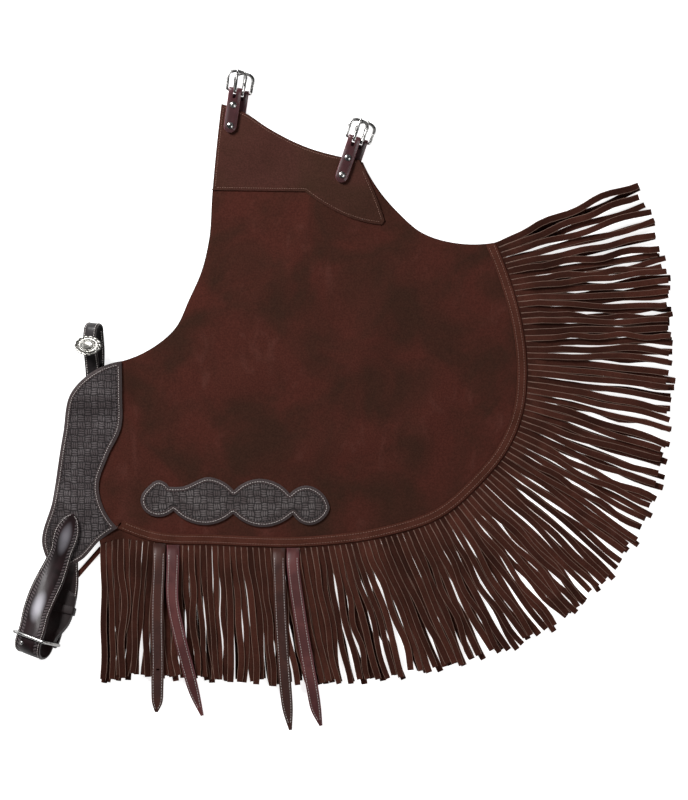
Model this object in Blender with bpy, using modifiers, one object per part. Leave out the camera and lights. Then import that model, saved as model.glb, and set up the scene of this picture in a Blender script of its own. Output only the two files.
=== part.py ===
"""Short fringed western chaps (chinks) in rough-out suede, folded in half and laid flat.

The right leg lies on the left leg, which is its mirror image with its outer side on the floor.
+X runs from the waist to the knee hem, +Y to the inner edge, +Z up. The origin is the centre of
the bounding box at floor level. Lengths in this file are millimetres, and MM turns them into metres
where a mesh is made.
"""
import math
import random
from collections import namedtuple

import bmesh
import bpy
from mathutils import Vector
from mathutils.bvhtree import BVHTree
from mathutils.geometry import delaunay_2d_cdt

MM = 0.001

# Walls and gaps
SEAM_GAP = 0.3
SUEDE = 2.2
FACING_SUEDE = 2.0
YOKE_LEATHER = 3.0
PATCH_LEATHER = 2.4
BAND_SUEDE = 1.5
BELT_LEATHER = 3.0
FRONT_STRAP_LEATHER = 2.0
LEG_STRAP_LEATHER = 2.4
CHAPE_LEATHER = 1.8
THONG_LEATHER = 2.0

# Plan grid of the upper leg
OUTLINE_STEP = 22.0
GRID_CELL = 34.0

# The left leg lies a little to the right of the right one and below it
LEFT_LEG_SHIFT = Vector((3.0, -2.0))
LEFT_BUCKLE_SHIFT = Vector((9.0, -3.0))
PLAN_SHIFT = Vector((-1.85, -0.68))

# Hem band, and the strip that holds the roots of the fringe
BAND_WIDTH = 12.0
BAND_END_SHARE = 0.2
STRIP_INSET = 7.2
PANEL_INSET = STRIP_INSET + SEAM_GAP
STRIP_OUTSET = 8.0
STRIP_SAMPLE = 12.0

# Fringe
RIGHT_STRANDS = 114
LEFT_STRANDS = 86
STRAND_WIDTH = 6.5
STRAND_THICKNESS = 1.3
ROOT_SLIT = 1.2
RISER_LENGTH = 18.0
LAYER_COUNT = 3
LAYER_PITCH = STRAND_THICKNESS + SEAM_GAP
LEFT_FIRST_LAYER = SEAM_GAP + STRAND_THICKNESS / 2
RIGHT_FIRST_LAYER = LEFT_FIRST_LAYER + LAYER_COUNT * LAYER_PITCH
STRAND_STATIONS = (0.42, 0.72, 1.0)
STRAND_CLEARANCE = 1.2
SPREAD_PASSES = 12
STRAND_STRAY = 5.0
LENGTH_CHANGE = (-5.0, 4.0)
FRINGE_TOP = RIGHT_FIRST_LAYER + (LAYER_COUNT - 1) * LAYER_PITCH + STRAND_THICKNESS / 2

# Leg buckles: a 16 mm strap round a straight bar
CHAPE_WIDTH = 16.0
SLOT_HALF_WIDTH = 2.1
SLOT_DEPTH = 10.0
BAR_RADIUS = 1.6
LOOP_RADIUS = BAR_RADIUS + 0.4 + CHAPE_LEATHER / 2
LAYER_OFFSET = (CHAPE_LEATHER + SEAM_GAP) / 2
TONGUE_WIDTH = 3.2
TONGUE_THICKNESS = 1.6
TONGUE_EYE_RADIUS = BAR_RADIUS + SEAM_GAP + TONGUE_THICKNESS / 2
RIVET_RADIUS = 4.2
RIVET_HEIGHT = 1.7

# Belt loop
BELT_WIDTH = 38.0
BELT_LOOP_RADIUS = 15.0
BELT_LOOP_ROLL = 28.0
BELT_LOOP_AXIS = Vector((-391.0, -306.5, 34.2))
BELT_ACROSS = Vector((0.948, -0.317, 0.0)).normalized()
BELT_BAR_RADIUS = 2.0
BELT_BAR_SETBACK = 6.0
KEEPER_SIDE_ROOM = 2.0
KEEPER_ROOM = 1.6
TAIL_ROOM = 0.2

# Front strap loop
FRONT_STRAP_WIDTH = 18.0
FRONT_LOOP_RADIUS = 9.5
FRONT_LOOP_ROLL = 25.0
FRONT_LOOP_AXIS = Vector((-317.3, 87.2, 14.4))
FRONT_ACROSS = Vector((0.995, -0.1, 0.0)).normalized()

Knot = namedtuple("Knot", "x y corner")
Plane = namedtuple("Plane", "axis across normal heading")
Lift = namedtuple("Lift", "outline height margin ramp")
Swell = namedtuple("Swell", "x y half_length half_width angle height")
Station = namedtuple("Station", "centre side width")
RootRow = namedtuple("RootRow", "x y angle length")
LegBuckle = namedtuple("LegBuckle", "number bar tilt length rivets")

SHARP = True
ROUND = False

# Outer edge of the leg above the hem, from the crotch point round the thigh to the hem's first end
THIGH_EDGE = (
    Knot(-282.2, 49.3, SHARP), Knot(-243.3, 66.3, ROUND), Knot(-214.1, 91.4, ROUND),
    Knot(-196.8, 127.0, ROUND), Knot(-180.3, 165.1, ROUND), Knot(-171.4, 203.2, ROUND),
    Knot(-167.3, 260.4, ROUND), Knot(-161.3, 323.9, ROUND), Knot(-155.4, 375.4, SHARP),
    Knot(-124.5, 363.5, ROUND), Knot(-95.8, 344.7, ROUND), Knot(-42.3, 318.9, ROUND),
    Knot(-3.2, 308.2, ROUND), Knot(21.0, 303.8, SHARP), Knot(36.3, 275.6, ROUND),
    Knot(64.5, 241.3, ROUND), Knot(100.1, 211.8, ROUND), Knot(147.3, 198.5, ROUND),
    Knot(191.6, 199.9, SHARP),
)

# Hem, from the knee corner round to the yoke's corner
HEM_EDGE = (
    Knot(191.6, 199.9, SHARP), Knot(211.6, 148.1, ROUND), Knot(226.2, 92.2, ROUND),
    Knot(231.5, 33.8, ROUND), Knot(226.2, -16.6, ROUND), Knot(206.2, -64.5, ROUND),
    Knot(171.4, -107.3, ROUND), Knot(126.6, -146.1, ROUND), Knot(54.9, -171.7, ROUND),
    Knot(-31.8, -184.2, ROUND), Knot(-165.1, -182.9, ROUND), Knot(-245.4, -177.8, ROUND),
    Knot(-287.0, -162.3, SHARP),
)

# Waist end of the right panel, hidden under the yoke
PANEL_WAIST_EDGE = (
    Knot(-287.0, -162.3, SHARP), Knot(-306.1, -147.3, ROUND), Knot(-327.0, -108.0, ROUND),
    Knot(-316.2, -66.0, ROUND), Knot(-301.0, -31.8, ROUND), Knot(-299.5, 39.8, SHARP),
    Knot(-282.2, 49.3, SHARP),
)

YOKE_CURVE = (
    Knot(-287.0, -162.3, SHARP), Knot(-304.0, -138.8, ROUND), Knot(-311.3, -110.5, ROUND),
    Knot(-300.0, -72.4, ROUND), Knot(-283.0, -35.1, ROUND), Knot(-281.4, 6.3, ROUND),
    Knot(-282.2, 49.3, SHARP),
)

YOKE_BACK = (
    Knot(-282.2, 49.3, SHARP), Knot(-324.2, 32.3, ROUND), Knot(-345.4, 10.4, ROUND),
    Knot(-356.6, -43.2, ROUND), Knot(-369.6, -127.0, ROUND), Knot(-381.5, -189.2, ROUND),
    Knot(-373.4, -205.7, ROUND), Knot(-355.6, -212.1, ROUND), Knot(-336.6, -205.2, ROUND),
    Knot(-307.3, -176.1, ROUND), Knot(-287.0, -162.3, SHARP),
)

# Inner edges of the thigh facing; it ends at the panel's own edge, so both ends pass beyond it
FACING_INNER_EDGE = (
    Knot(19.5, 307.0, SHARP), Knot(34.3, 273.4, ROUND), Knot(45.0, 246.8, ROUND),
    Knot(51.2, 227.1, SHARP), Knot(47.6, 222.6, SHARP), Knot(13.0, 229.7, ROUND),
    Knot(-26.3, 248.5, ROUND), Knot(-49.5, 264.8, SHARP), Knot(-172.0, 266.4, SHARP),
)
FACING_BEYOND_PANEL = (Vector((-185.0, 390.0)), Vector((0.0, 390.0)))

PATCH_OUTLINE = (
    Knot(-258.2, -127.6, ROUND), Knot(-247.7, -109.2, ROUND), Knot(-235.8, -101.9, ROUND),
    Knot(-222.2, -110.1, SHARP), Knot(-206.8, -110.1, ROUND), Knot(-169.8, -98.0, ROUND),
    Knot(-139.7, -114.9, SHARP), Knot(-109.5, -100.1, ROUND), Knot(-68.7, -119.1, SHARP),
    Knot(-48.3, -108.6, ROUND), Knot(-25.9, -119.9, ROUND), Knot(-18.2, -136.4, SHARP),
    Knot(-47.4, -158.4, ROUND), Knot(-64.8, -145.2, SHARP), Knot(-109.5, -160.7, ROUND),
    Knot(-140.6, -144.1, SHARP), Knot(-171.7, -158.4, ROUND), Knot(-216.4, -140.3, SHARP),
    Knot(-237.9, -148.1, ROUND), Knot(-254.6, -138.4, ROUND),
)

# Where the fringe strip runs on below the yoke: its inner and outer edge
STRIP_UNDER_YOKE = (
    (Vector((-263.6, -164.6)), Vector((-266.0, -186.4))),
    (Vector((-281.3, -157.6)), Vector((-278.0, -187.0))),
    (Vector((-283.2, -165.0)), Vector((-286.0, -187.6))),
    (Vector((-295.0, -172.8)), Vector((-297.0, -188.6))),
    (Vector((-304.6, -179.4)), Vector((-308.5, -190.0))),
)
STRIP_UNDER_YOKE_START = -252.0

# Fringe by root: the way a strand lies, in degrees below +X, and how far its tip is from the hem
FRINGE_ROWS = (
    RootRow(-307.5, -190.0, 91.0, 172.0), RootRow(-287.0, -170.0, 92.0, 175.0),
    RootRow(-182.9, -182.9, 88.0, 170.0), RootRow(-55.9, -184.2, 80.0, 177.0),
    RootRow(7.6, -181.6, 73.0, 178.0), RootRow(45.7, -175.3, 69.0, 180.0),
    RootRow(88.9, -162.0, 64.0, 182.0), RootRow(127.0, -146.1, 58.0, 190.0),
    RootRow(158.8, -121.9, 50.0, 198.0), RootRow(190.5, -88.9, 40.0, 201.0),
    RootRow(210.8, -55.9, 28.0, 196.0), RootRow(223.5, -19.1, 18.0, 188.0),
    RootRow(229.9, 34.3, 7.0, 183.0), RootRow(228.6, 76.2, 0.0, 185.0),
    RootRow(218.4, 127.0, -3.0, 194.0), RootRow(207.0, 162.6, -8.0, 196.0),
    RootRow(200.7, 180.3, -14.0, 196.0), RootRow(191.8, 199.4, -24.0, 194.0),
)

# Soft swells of the upper leg over the lower one
SWELLS = (
    Swell(-70.0, 150.0, 95.0, 38.0, -35.0, 2.6), Swell(40.0, 90.0, 110.0, 40.0, 62.0, 2.2),
    Swell(-120.0, 30.0, 90.0, 34.0, 20.0, 1.8), Swell(110.0, -20.0, 85.0, 36.0, 75.0, 2.0),
    Swell(-10.0, -60.0, 100.0, 36.0, 8.0, 1.6),
)

LEG_BUCKLES = (
    LegBuckle(1, Vector((-137.9, 392.3)), 8.0, 53.8, (-45.0, -18.5)),
    LegBuckle(2, Vector((13.2, 331.1)), 18.8, 58.0, (-48.5, -25.5)),
)

# Leg straps: where each leaves the hem, its roll, and its plan points past the fringe's risers
StrapRow = namedtuple("StrapRow", "name root_x roll points")
LEG_STRAPS = (
    StrapRow("right_leg_strap_1", -234.5, 0.0, ((-236.9, -266.7), (-236.2, -330.2), (-236.6, -366.0),
                                                (-236.9, -383.5), (-238.1, -395.6))),
    StrapRow("left_leg_strap_1", -216.8, 18.0, ((-217.2, -254.0), (-210.0, -292.1), (-198.8, -336.6),
                                                (-190.0, -370.0), (-179.8, -400.3))),
    StrapRow("right_leg_strap_2", -82.6, 0.0, ((-80.0, -279.4), (-76.8, -330.2), (-74.2, -364.0),
                                               (-71.4, -392.0), (-67.9, -418.5))),
    StrapRow("left_leg_strap_2", -64.6, 12.0, ((-55.0, -279.0), (-45.1, -338.0), (-40.0, -366.0),
                                               (-35.4, -392.0), (-29.2, -413.0))),
)
STRAP_ROOT_STEPS = (2.0, 7.5, 24.0)
LEG_STRAP_WIDTH = 15.5

COLOURS = {
    "suede": ((0.056, 0.021, 0.014), 0.95, 0.0),
    "facing_suede": ((0.062, 0.024, 0.017), 0.95, 0.0),
    "stamped_leather": ((0.056, 0.048, 0.050), 0.5, 0.0),
    "belt_leather": ((0.020, 0.014, 0.013), 0.22, 0.0),
    "strap_leather": ((0.050, 0.022, 0.019), 0.45, 0.0),
    "nickel": ((0.62, 0.61, 0.59), 0.2, 1.0),
    "silver": ((0.72, 0.71, 0.68), 0.25, 1.0),
}


def clear_scene():
    """Removes the startup objects."""
    for item in list(bpy.data.objects):
        bpy.data.objects.remove(item, do_unlink=True)


def make_materials():
    """One Principled material for each row of COLOURS."""
    materials = {}
    for name, (colour, roughness, metallic) in COLOURS.items():
        material = bpy.data.materials.new(name)
        material.use_nodes = True
        shader = material.node_tree.nodes["Principled BSDF"]
        shader.inputs["Base Color"].default_value = (*colour, 1.0)
        shader.inputs["Roughness"].default_value = roughness
        shader.inputs["Metallic"].default_value = metallic
        materials[name] = material
    return materials


def flat(knot):
    """A knot's place as a 2D vector."""
    return Vector((knot.x, knot.y))


def round_tangent(before, here, after):
    """Direction at a point of the circle through it and its two neighbours."""
    first = here - before
    second = after - here
    return (first.normalized() * second.length + second.normalized() * first.length).normalized()


def smooth_curve(knots, step, closed=False):
    """Points about a step apart on a smooth curve through the knots, with its corners kept."""
    places = [flat(knot) for knot in knots]
    count = len(places)
    last = count if closed else count - 1
    tangents = []
    for index, knot in enumerate(knots):
        inner = closed or 0 < index < count - 1
        if knot.corner or not inner:
            tangents.append(None)
        else:
            tangents.append(round_tangent(places[index - 1], places[index], places[(index + 1) % count]))
    points = []
    for index in range(last):
        start = places[index]
        end = places[(index + 1) % count]
        chord = end - start
        along = chord.normalized()
        leave = tangents[index]
        arrive = tangents[(index + 1) % count]
        if leave is None:
            leave = along if arrive is None else 2 * along.dot(arrive) * along - arrive
        if arrive is None:
            arrive = 2 * along.dot(leave) * along - leave
        pieces = max(1, round(chord.length / step))
        for piece in range(pieces):
            t = piece / pieces
            points.append(
                (2 * t ** 3 - 3 * t ** 2 + 1) * start + (t ** 3 - 2 * t ** 2 + t) * chord.length * leave
                + (3 * t ** 2 - 2 * t ** 3) * end + (t ** 3 - t ** 2) * chord.length * arrive)
    if not closed:
        points.append(places[-1])
    return points


def offset_line(points, distance):
    """An open line moved to its left by a distance."""
    moved = []
    for index, point in enumerate(points):
        before = points[max(index - 1, 0)]
        after = points[min(index + 1, len(points) - 1)]
        along = (after - before).normalized()
        moved.append(point + distance * Vector((-along.y, along.x)))
    return moved


def inside(outline, point):
    """Whether a point lies inside a closed outline."""
    result = False
    for index, end in enumerate(outline):
        start = outline[index - 1]
        if (start.y > point.y) != (end.y > point.y):
            crossing = start.x + (point.y - start.y) / (end.y - start.y) * (end.x - start.x)
            if point.x < crossing:
                result = not result
    return result


def distance_to(outline, point):
    """Distance from a point to the nearest edge of a closed outline."""
    best = math.inf
    for index, end in enumerate(outline):
        start = outline[index - 1]
        edge = end - start
        share = max(0.0, min(1.0, (point - start).dot(edge) / max(edge.length_squared, 1e-9)))
        best = min(best, (point - start - share * edge).length)
    return best


def ease(share):
    """Smooth step from 0 to 1."""
    share = max(0.0, min(1.0, share))
    return share * share * (3 - 2 * share)


def capsule(start, end, radius):
    """Outline of the area within a radius of a straight line, as a box with bevelled ends."""
    along = (end - start).normalized()
    across = Vector((-along.y, along.x))
    return [start - along * radius * 0.4 - across * radius, end + along * radius * 0.4 - across * radius,
            end + along * radius * 0.4 + across * radius, start - along * radius * 0.4 + across * radius]


class LegPlan:
    """Outlines of one leg, and the height at which its underside lies."""

    def __init__(self):
        hem = smooth_curve(HEM_EDGE, OUTLINE_STEP)
        thigh = smooth_curve(THIGH_EDGE, OUTLINE_STEP)
        waist = smooth_curve(PANEL_WAIST_EDGE, OUTLINE_STEP)
        self.hem = hem
        self.panel_hem = offset_line(hem, -PANEL_INSET)
        self.panel_hem[0] = thigh[-1] + (thigh[-2] - thigh[-1]).normalized() * PANEL_INSET
        self.band_inner = offset_line(hem, -BAND_WIDTH)
        self.band_inner[0] = thigh[-1] + (thigh[-2] - thigh[-1]).normalized() * BAND_WIDTH
        self.thigh = thigh
        self.waist = waist
        self.panel = thigh[:-1] + self.panel_hem + waist[1:-1]
        self.band = hem[:-1] + [hem[-1].lerp(hem[-2], BAND_END_SHARE)]
        self.band.append(self.band_inner[-1].lerp(self.band_inner[-2], BAND_END_SHARE))
        self.band.extend(self.band_inner[-2::-1])
        self.yoke = smooth_curve(YOKE_CURVE, OUTLINE_STEP)[:-1] + smooth_curve(YOKE_BACK, OUTLINE_STEP)[:-1]
        self.facing = smooth_curve(FACING_INNER_EDGE, OUTLINE_STEP) + list(FACING_BEYOND_PANEL)
        self.patch = smooth_curve(PATCH_OUTLINE, 12.0, closed=True)
        self.lifts = self.under_pieces()

    def under_pieces(self):
        """What the upper leg lies over, with the height each adds to the lower panel's top."""
        lifts = [Lift(self.yoke, YOKE_LEATHER - SUEDE, 8.0, 60.0)]
        for buckle in LEG_BUCKLES:
            bar = buckle.bar + LEFT_BUCKLE_SHIFT
            lean = math.radians(buckle.tilt)
            end = bar - Vector((math.sin(lean), math.cos(lean))) * (buckle.length - 6.0)
            height = 2 * CHAPE_LEATHER + 2 * SEAM_GAP + 0.2
            lifts.append(Lift(capsule(bar, end, CHAPE_WIDTH / 2), height, 16.0, 50.0))
        belt = capsule(Vector((-354.0, -206.0)), Vector((-346.0, -152.0)), 17.0)
        belt_height = YOKE_LEATHER + BELT_LEATHER + SEAM_GAP - SUEDE + 0.3
        lifts.append(Lift(belt, belt_height, 12.0, 34.0))
        front = capsule(Vector((-314.6, 22.0)), Vector((-316.6, 44.0)), 13.0)
        front_height = YOKE_LEATHER + 2 * FRONT_STRAP_LEATHER + 2 * SEAM_GAP - SUEDE + 0.3
        lifts.append(Lift(front, front_height, 10.0, 38.0))
        return lifts

    def underside(self, point):
        """Height of the upper leg's underside at a plan point."""
        rise = 0.0
        for lift in self.lifts:
            away = 0.0 if inside(lift.outline, point) else distance_to(lift.outline, point)
            rise = max(rise, lift.height * (1 - ease((away - lift.margin) / lift.ramp)))
        for swell in SWELLS:
            lean = math.radians(swell.angle)
            gap = point - Vector((swell.x, swell.y))
            along = (gap.x * math.cos(lean) + gap.y * math.sin(lean)) / swell.half_length
            across = (-gap.x * math.sin(lean) + gap.y * math.cos(lean)) / swell.half_width
            rise += swell.height * (1 - ease(math.hypot(along, across)))
        return SUEDE + SEAM_GAP + rise


class PlanMesh:
    """One triangulation of the upper leg's plan, shared by every sheet that lies on it."""

    def __init__(self, plan):
        lines = [(plan.panel, True), (plan.yoke, True), (plan.patch, True), (plan.band, True),
                 (smooth_curve(FACING_INNER_EDGE, OUTLINE_STEP), False)]
        points = []
        edges = []
        for line, closed in lines:
            first = len(points)
            points.extend(line)
            edges.extend((first + index, first + index + 1) for index in range(len(line) - 1))
            if closed:
                edges.append((len(points) - 1, first))
        points.extend(self.grid(plan, lines))
        verts, _, faces, _, _, _ = delaunay_2d_cdt(points, edges, [], 0, 0.02)
        self.points = [Vector(vert) for vert in verts]
        self.triangles = [tuple(face) for face in faces]

    @staticmethod
    def grid(plan, lines):
        """Inner points in staggered rows, kept clear of the outlines."""
        shapes = [line if closed else line + line[::-1] for line, closed in lines]
        row_height = GRID_CELL * math.sqrt(3) / 2
        found = []
        for row in range(int(640 / row_height)):
            y = -235.0 + row * row_height
            for column in range(int(660 / GRID_CELL)):
                place = Vector((-400.0 + (column + 0.5 * (row % 2)) * GRID_CELL, y))
                if not (inside(plan.panel, place) or inside(plan.yoke, place)):
                    continue
                if min(distance_to(shape, place) for shape in shapes) > 0.42 * GRID_CELL:
                    found.append(place)
        return found

    def region(self, test):
        """Triangles whose middle passes a test."""
        kept = []
        for triangle in self.triangles:
            middle = sum((self.points[index] for index in triangle), Vector((0.0, 0.0))) / 3
            if test(middle):
                kept.append(triangle)
        return kept


def add_object(name, mesh, material, collection):
    """Links a mesh as a named object with one material."""
    item = bpy.data.objects.new(name, mesh)
    mesh.materials.append(material)
    collection.objects.link(item)
    return item


def thicken(item, thickness, offset):
    """Gives an open surface its wall."""
    wall = item.modifiers.new("wall", "SOLIDIFY")
    wall.thickness = thickness * MM
    wall.offset = offset
    wall.use_even_offset = True
    wall.use_quality_normals = True
    return item


def sheet(name, plan_mesh, triangles, height, thickness, material, collection):
    """A cut piece: an open surface at its underside, thickened upward."""
    used = sorted({index for triangle in triangles for index in triangle})
    order = {index: place for place, index in enumerate(used)}
    verts = []
    for index in used:
        point = plan_mesh.points[index]
        shifted = point + PLAN_SHIFT
        verts.append((shifted.x * MM, shifted.y * MM, height(point) * MM))
    mesh = bpy.data.meshes.new(name)
    mesh.from_pydata(verts, [], [[order[index] for index in triangle] for triangle in triangles])
    mesh.validate()
    work = bmesh.new()
    work.from_mesh(mesh)
    for face in work.faces:
        if face.normal.z < 0:
            face.normal_flip()
    work.to_mesh(mesh)
    work.free()
    return thicken(add_object(name, mesh, material, collection), thickness, 1.0)


def plate(name, outline, bottom, thickness, material, collection):
    """A flat cut piece that lies level, from its outline."""
    work = bmesh.new()
    corners = [work.verts.new(((point.x + PLAN_SHIFT.x) * MM, (point.y + PLAN_SHIFT.y) * MM, bottom * MM))
               for point in outline]
    face = work.faces.new(corners)
    face.normal_update()
    if face.normal.z < 0:
        face.normal_flip()
    mesh = bpy.data.meshes.new(name)
    work.to_mesh(mesh)
    work.free()
    return thicken(add_object(name, mesh, material, collection), thickness, 1.0)


def ribbon(name, stations, thickness, material, collection):
    """A strap: a strip through its stations, each twisted face split about its middle, then thickened."""
    work = bmesh.new()
    shift = PLAN_SHIFT.to_3d()
    rows = []
    for station in stations:
        reach = station.side.normalized() * station.width / 2
        rows.append([work.verts.new((station.centre + shift - reach) * MM),
                     work.verts.new((station.centre + shift + reach) * MM)])
    for before, after in zip(rows, rows[1:]):
        work.faces.new((before[0], before[1], after[1], after[0]))
    bmesh.ops.poke(work, faces=work.faces)
    mesh = bpy.data.meshes.new(name)
    work.to_mesh(mesh)
    work.free()
    return thicken(add_object(name, mesh, material, collection), thickness, 0.0)


def loft(name, rings, closed, material, collection):
    """A solid through rings of points; an open one is capped at both ends."""
    work = bmesh.new()
    rows = [[work.verts.new(point * MM) for point in ring] for ring in rings]
    pairs = list(zip(rows, rows[1:]))
    if closed:
        pairs.append((rows[-1], rows[0]))
    for before, after in pairs:
        for index in range(len(before)):
            after_index = (index + 1) % len(before)
            work.faces.new((before[index], before[after_index], after[after_index], after[index]))
    if not closed:
        work.faces.new(rows[0][::-1])
        work.faces.new(rows[-1])
    bmesh.ops.recalc_face_normals(work, faces=work.faces)
    mesh = bpy.data.meshes.new(name)
    work.to_mesh(mesh)
    work.free()
    return add_object(name, mesh, material, collection)


def strip_pairs(plan, shift):
    """Inner and outer edge of the fringe strip, from the knee corner to below the yoke."""
    hem = smooth_curve(HEM_EDGE, STRIP_SAMPLE)
    inner = offset_line(hem, -STRIP_INSET)
    outer = offset_line(hem, STRIP_OUTSET)
    pairs = [pair for pair in zip(inner, outer) if pair[1].x > STRIP_UNDER_YOKE_START]
    pairs.extend(STRIP_UNDER_YOKE)
    return [(near + shift, far + shift) for near, far in pairs]


class StripLine:
    """The strip's two edges, read by the distance along the outer one."""

    def __init__(self, pairs):
        self.pairs = pairs
        self.marks = [0.0]
        for before, after in zip(pairs, pairs[1:]):
            self.marks.append(self.marks[-1] + (after[1] - before[1]).length)
        self.length = self.marks[-1]

    def at(self, mark):
        """Inner point, outer point and unit tangent at a distance along the strip."""
        index = 0
        while index < len(self.marks) - 2 and self.marks[index + 1] < mark:
            index += 1
        span = self.marks[index + 1] - self.marks[index]
        share = (mark - self.marks[index]) / span
        before = self.pairs[index]
        after = self.pairs[index + 1]
        tangent = (after[1] - before[1]).normalized()
        return before[0].lerp(after[0], share), before[1].lerp(after[1], share), tangent

    def nearest(self, place):
        """Distance along the strip of the spot nearest to a plan point."""
        best = min(range(len(self.pairs)), key=lambda index: (self.pairs[index][1] - place).length)
        return self.marks[best]


class StrandLie:
    """How the strands lie, read from FRINGE_ROWS by the distance along the strip."""

    def __init__(self, line, shift):
        rows = [(line.nearest(Vector((row.x, row.y)) + shift), row.angle, row.length) for row in FRINGE_ROWS]
        self.rows = sorted(rows)

    def at(self, mark):
        """Angle in degrees below +X, and length, at a distance along the strip."""
        rows = self.rows
        if mark <= rows[0][0]:
            return rows[0][1], rows[0][2]
        for before, after in zip(rows, rows[1:]):
            if mark <= after[0]:
                share = (mark - before[0]) / max(after[0] - before[0], 1e-6)
                return before[1] + share * (after[1] - before[1]), before[2] + share * (after[2] - before[2])
        return rows[-1][1], rows[-1][2]


def strand_paths(line, shift, count, seed):
    """Plan points of every strand's stations past its riser, spread so that no two in a layer meet."""
    chance = random.Random(seed)
    phases = [chance.uniform(0, 2 * math.pi) for _ in range(4)]
    lie = StrandLie(line, shift)
    pitch = line.length / count
    strands = []
    for index in range(count):
        mark = (index + 0.5) * pitch
        angle, length = lie.at(mark)
        length += chance.uniform(*LENGTH_CHANGE) - STRIP_OUTSET
        _, root, tangent = line.at(mark)
        lean = math.radians(-angle)
        ahead = Vector((math.cos(lean), math.sin(lean)))
        side = Vector((-ahead.y, ahead.x))
        if side.dot(tangent) < 0:
            side = -side
        drift = 5.0 * math.sin(mark / 19.0 + phases[0]) + 3.5 * math.sin(mark / 9.5 + phases[1])
        bow = 3.0 * math.sin(mark / 27.0 + phases[2]) + 2.0 * math.sin(mark / 12.0 + phases[3])
        stray = chance.uniform(-STRAND_STRAY, STRAND_STRAY)
        first = root + ahead * RISER_LENGTH
        spots = [first]
        for share in STRAND_STATIONS:
            reach = RISER_LENGTH + (length - RISER_LENGTH) * share
            sideways = (drift + stray) * share ** 1.4 + bow * math.sin(math.pi * share)
            spots.append(root + ahead * reach + side * sideways)
        strands.append({"mark": mark, "side": side, "spots": spots})
    for _ in range(SPREAD_PASSES):
        for index in range(count - LAYER_COUNT):
            left = strands[index]
            right = strands[index + LAYER_COUNT]
            across = (left["side"] + right["side"]).normalized()
            for spot in range(1, len(STRAND_STATIONS) + 1):
                apart = (right["spots"][spot] - left["spots"][spot]).dot(across)
                room = apart - STRAND_WIDTH - STRAND_CLEARANCE
                if room < 0:
                    left["spots"][spot] = left["spots"][spot] + across * room / 2
                    right["spots"][spot] = right["spots"][spot] - across * room / 2
    return strands


def fringe(name, plan, shift, count, first_layer, base, seed, material, collection):
    """A backing strip with its row of cut strands, as one solid."""
    line = StripLine(strip_pairs(plan, shift))
    strands = strand_paths(line, shift, count, seed)
    pitch = line.length / count
    half_root = (pitch - ROOT_SLIT) / 2
    work = bmesh.new()

    def corner(place, height):
        return work.verts.new(((place + PLAN_SHIFT).to_3d() + Vector((0.0, 0.0, height))) * MM)

    sections = []
    for strand in strands:
        for mark in (strand["mark"] - half_root, strand["mark"] + half_root):
            near, far, _ = line.at(mark)
            low_near = base(near)
            low_far = base(far)
            sections.append((corner(near, low_near), corner(near, low_near + SUEDE),
                             corner(far, low_far + SUEDE), corner(far, low_far)))
    for index in range(len(sections) - 1):
        before = sections[index]
        after = sections[index + 1]
        for face in range(4):
            is_root = face == 2 and index % 2 == 0
            if not is_root:
                follow = (face + 1) % 4
                work.faces.new((before[face], before[follow], after[follow], after[face]))
    work.faces.new(sections[0][::-1])
    work.faces.new(sections[-1])
    for index, strand in enumerate(strands):
        left = sections[2 * index]
        right = sections[2 * index + 1]
        ring = [left[3], right[3], right[2], left[2]]
        height = first_layer + (index % LAYER_COUNT) * LAYER_PITCH
        spots = strand["spots"]
        for place, spot in enumerate(spots):
            before = spots[max(place - 1, 0)]
            after = spots[min(place + 1, len(spots) - 1)]
            ahead = (after - before).normalized()
            side = Vector((-ahead.y, ahead.x))
            if side.dot(strand["side"]) < 0:
                side = -side
            width = 2 * half_root if place == 0 else STRAND_WIDTH
            low = height - STRAND_THICKNESS / 2
            high = height + STRAND_THICKNESS / 2
            lower_left = corner(spot - side * width / 2, low)
            lower_right = corner(spot + side * width / 2, low)
            upper_right = corner(spot + side * width / 2, high)
            upper_left = corner(spot - side * width / 2, high)
            fresh = [lower_left, lower_right, upper_right, upper_left]
            for edge in range(4):
                follow = (edge + 1) % 4
                work.faces.new((ring[edge], ring[follow], fresh[follow], fresh[edge]))
            ring = fresh
        work.faces.new(ring)
    bmesh.ops.recalc_face_normals(work, faces=work.faces)
    mesh = bpy.data.meshes.new(name)
    work.to_mesh(mesh)
    work.free()
    return add_object(name, mesh, material, collection)


def top_surface(item):
    """A search tree of an object's wall as it stands."""
    bpy.context.view_layer.update()
    ready = item.evaluated_get(bpy.context.evaluated_depsgraph_get())
    mesh = ready.to_mesh()
    work = bmesh.new()
    work.from_mesh(mesh)
    tree = BVHTree.FromBMesh(work)
    work.free()
    ready.to_mesh_clear()
    return tree


def highest_under(tree, centre, reach):
    """Highest point of a surface within a square about a plan point, in millimetres."""
    best = 0.0
    for step_x in (-1.0, -0.5, 0.0, 0.5, 1.0):
        for step_y in (-1.0, -0.5, 0.0, 0.5, 1.0):
            place = Vector((centre.x + step_x * reach, centre.y + step_y * reach)) + PLAN_SHIFT
            hit, _, _, _ = tree.ray_cast(Vector((place.x * MM, place.y * MM, 1.0)), Vector((0.0, 0.0, -1.0)))
            if hit is not None:
                best = max(best, hit.z / MM)
    return best


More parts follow.
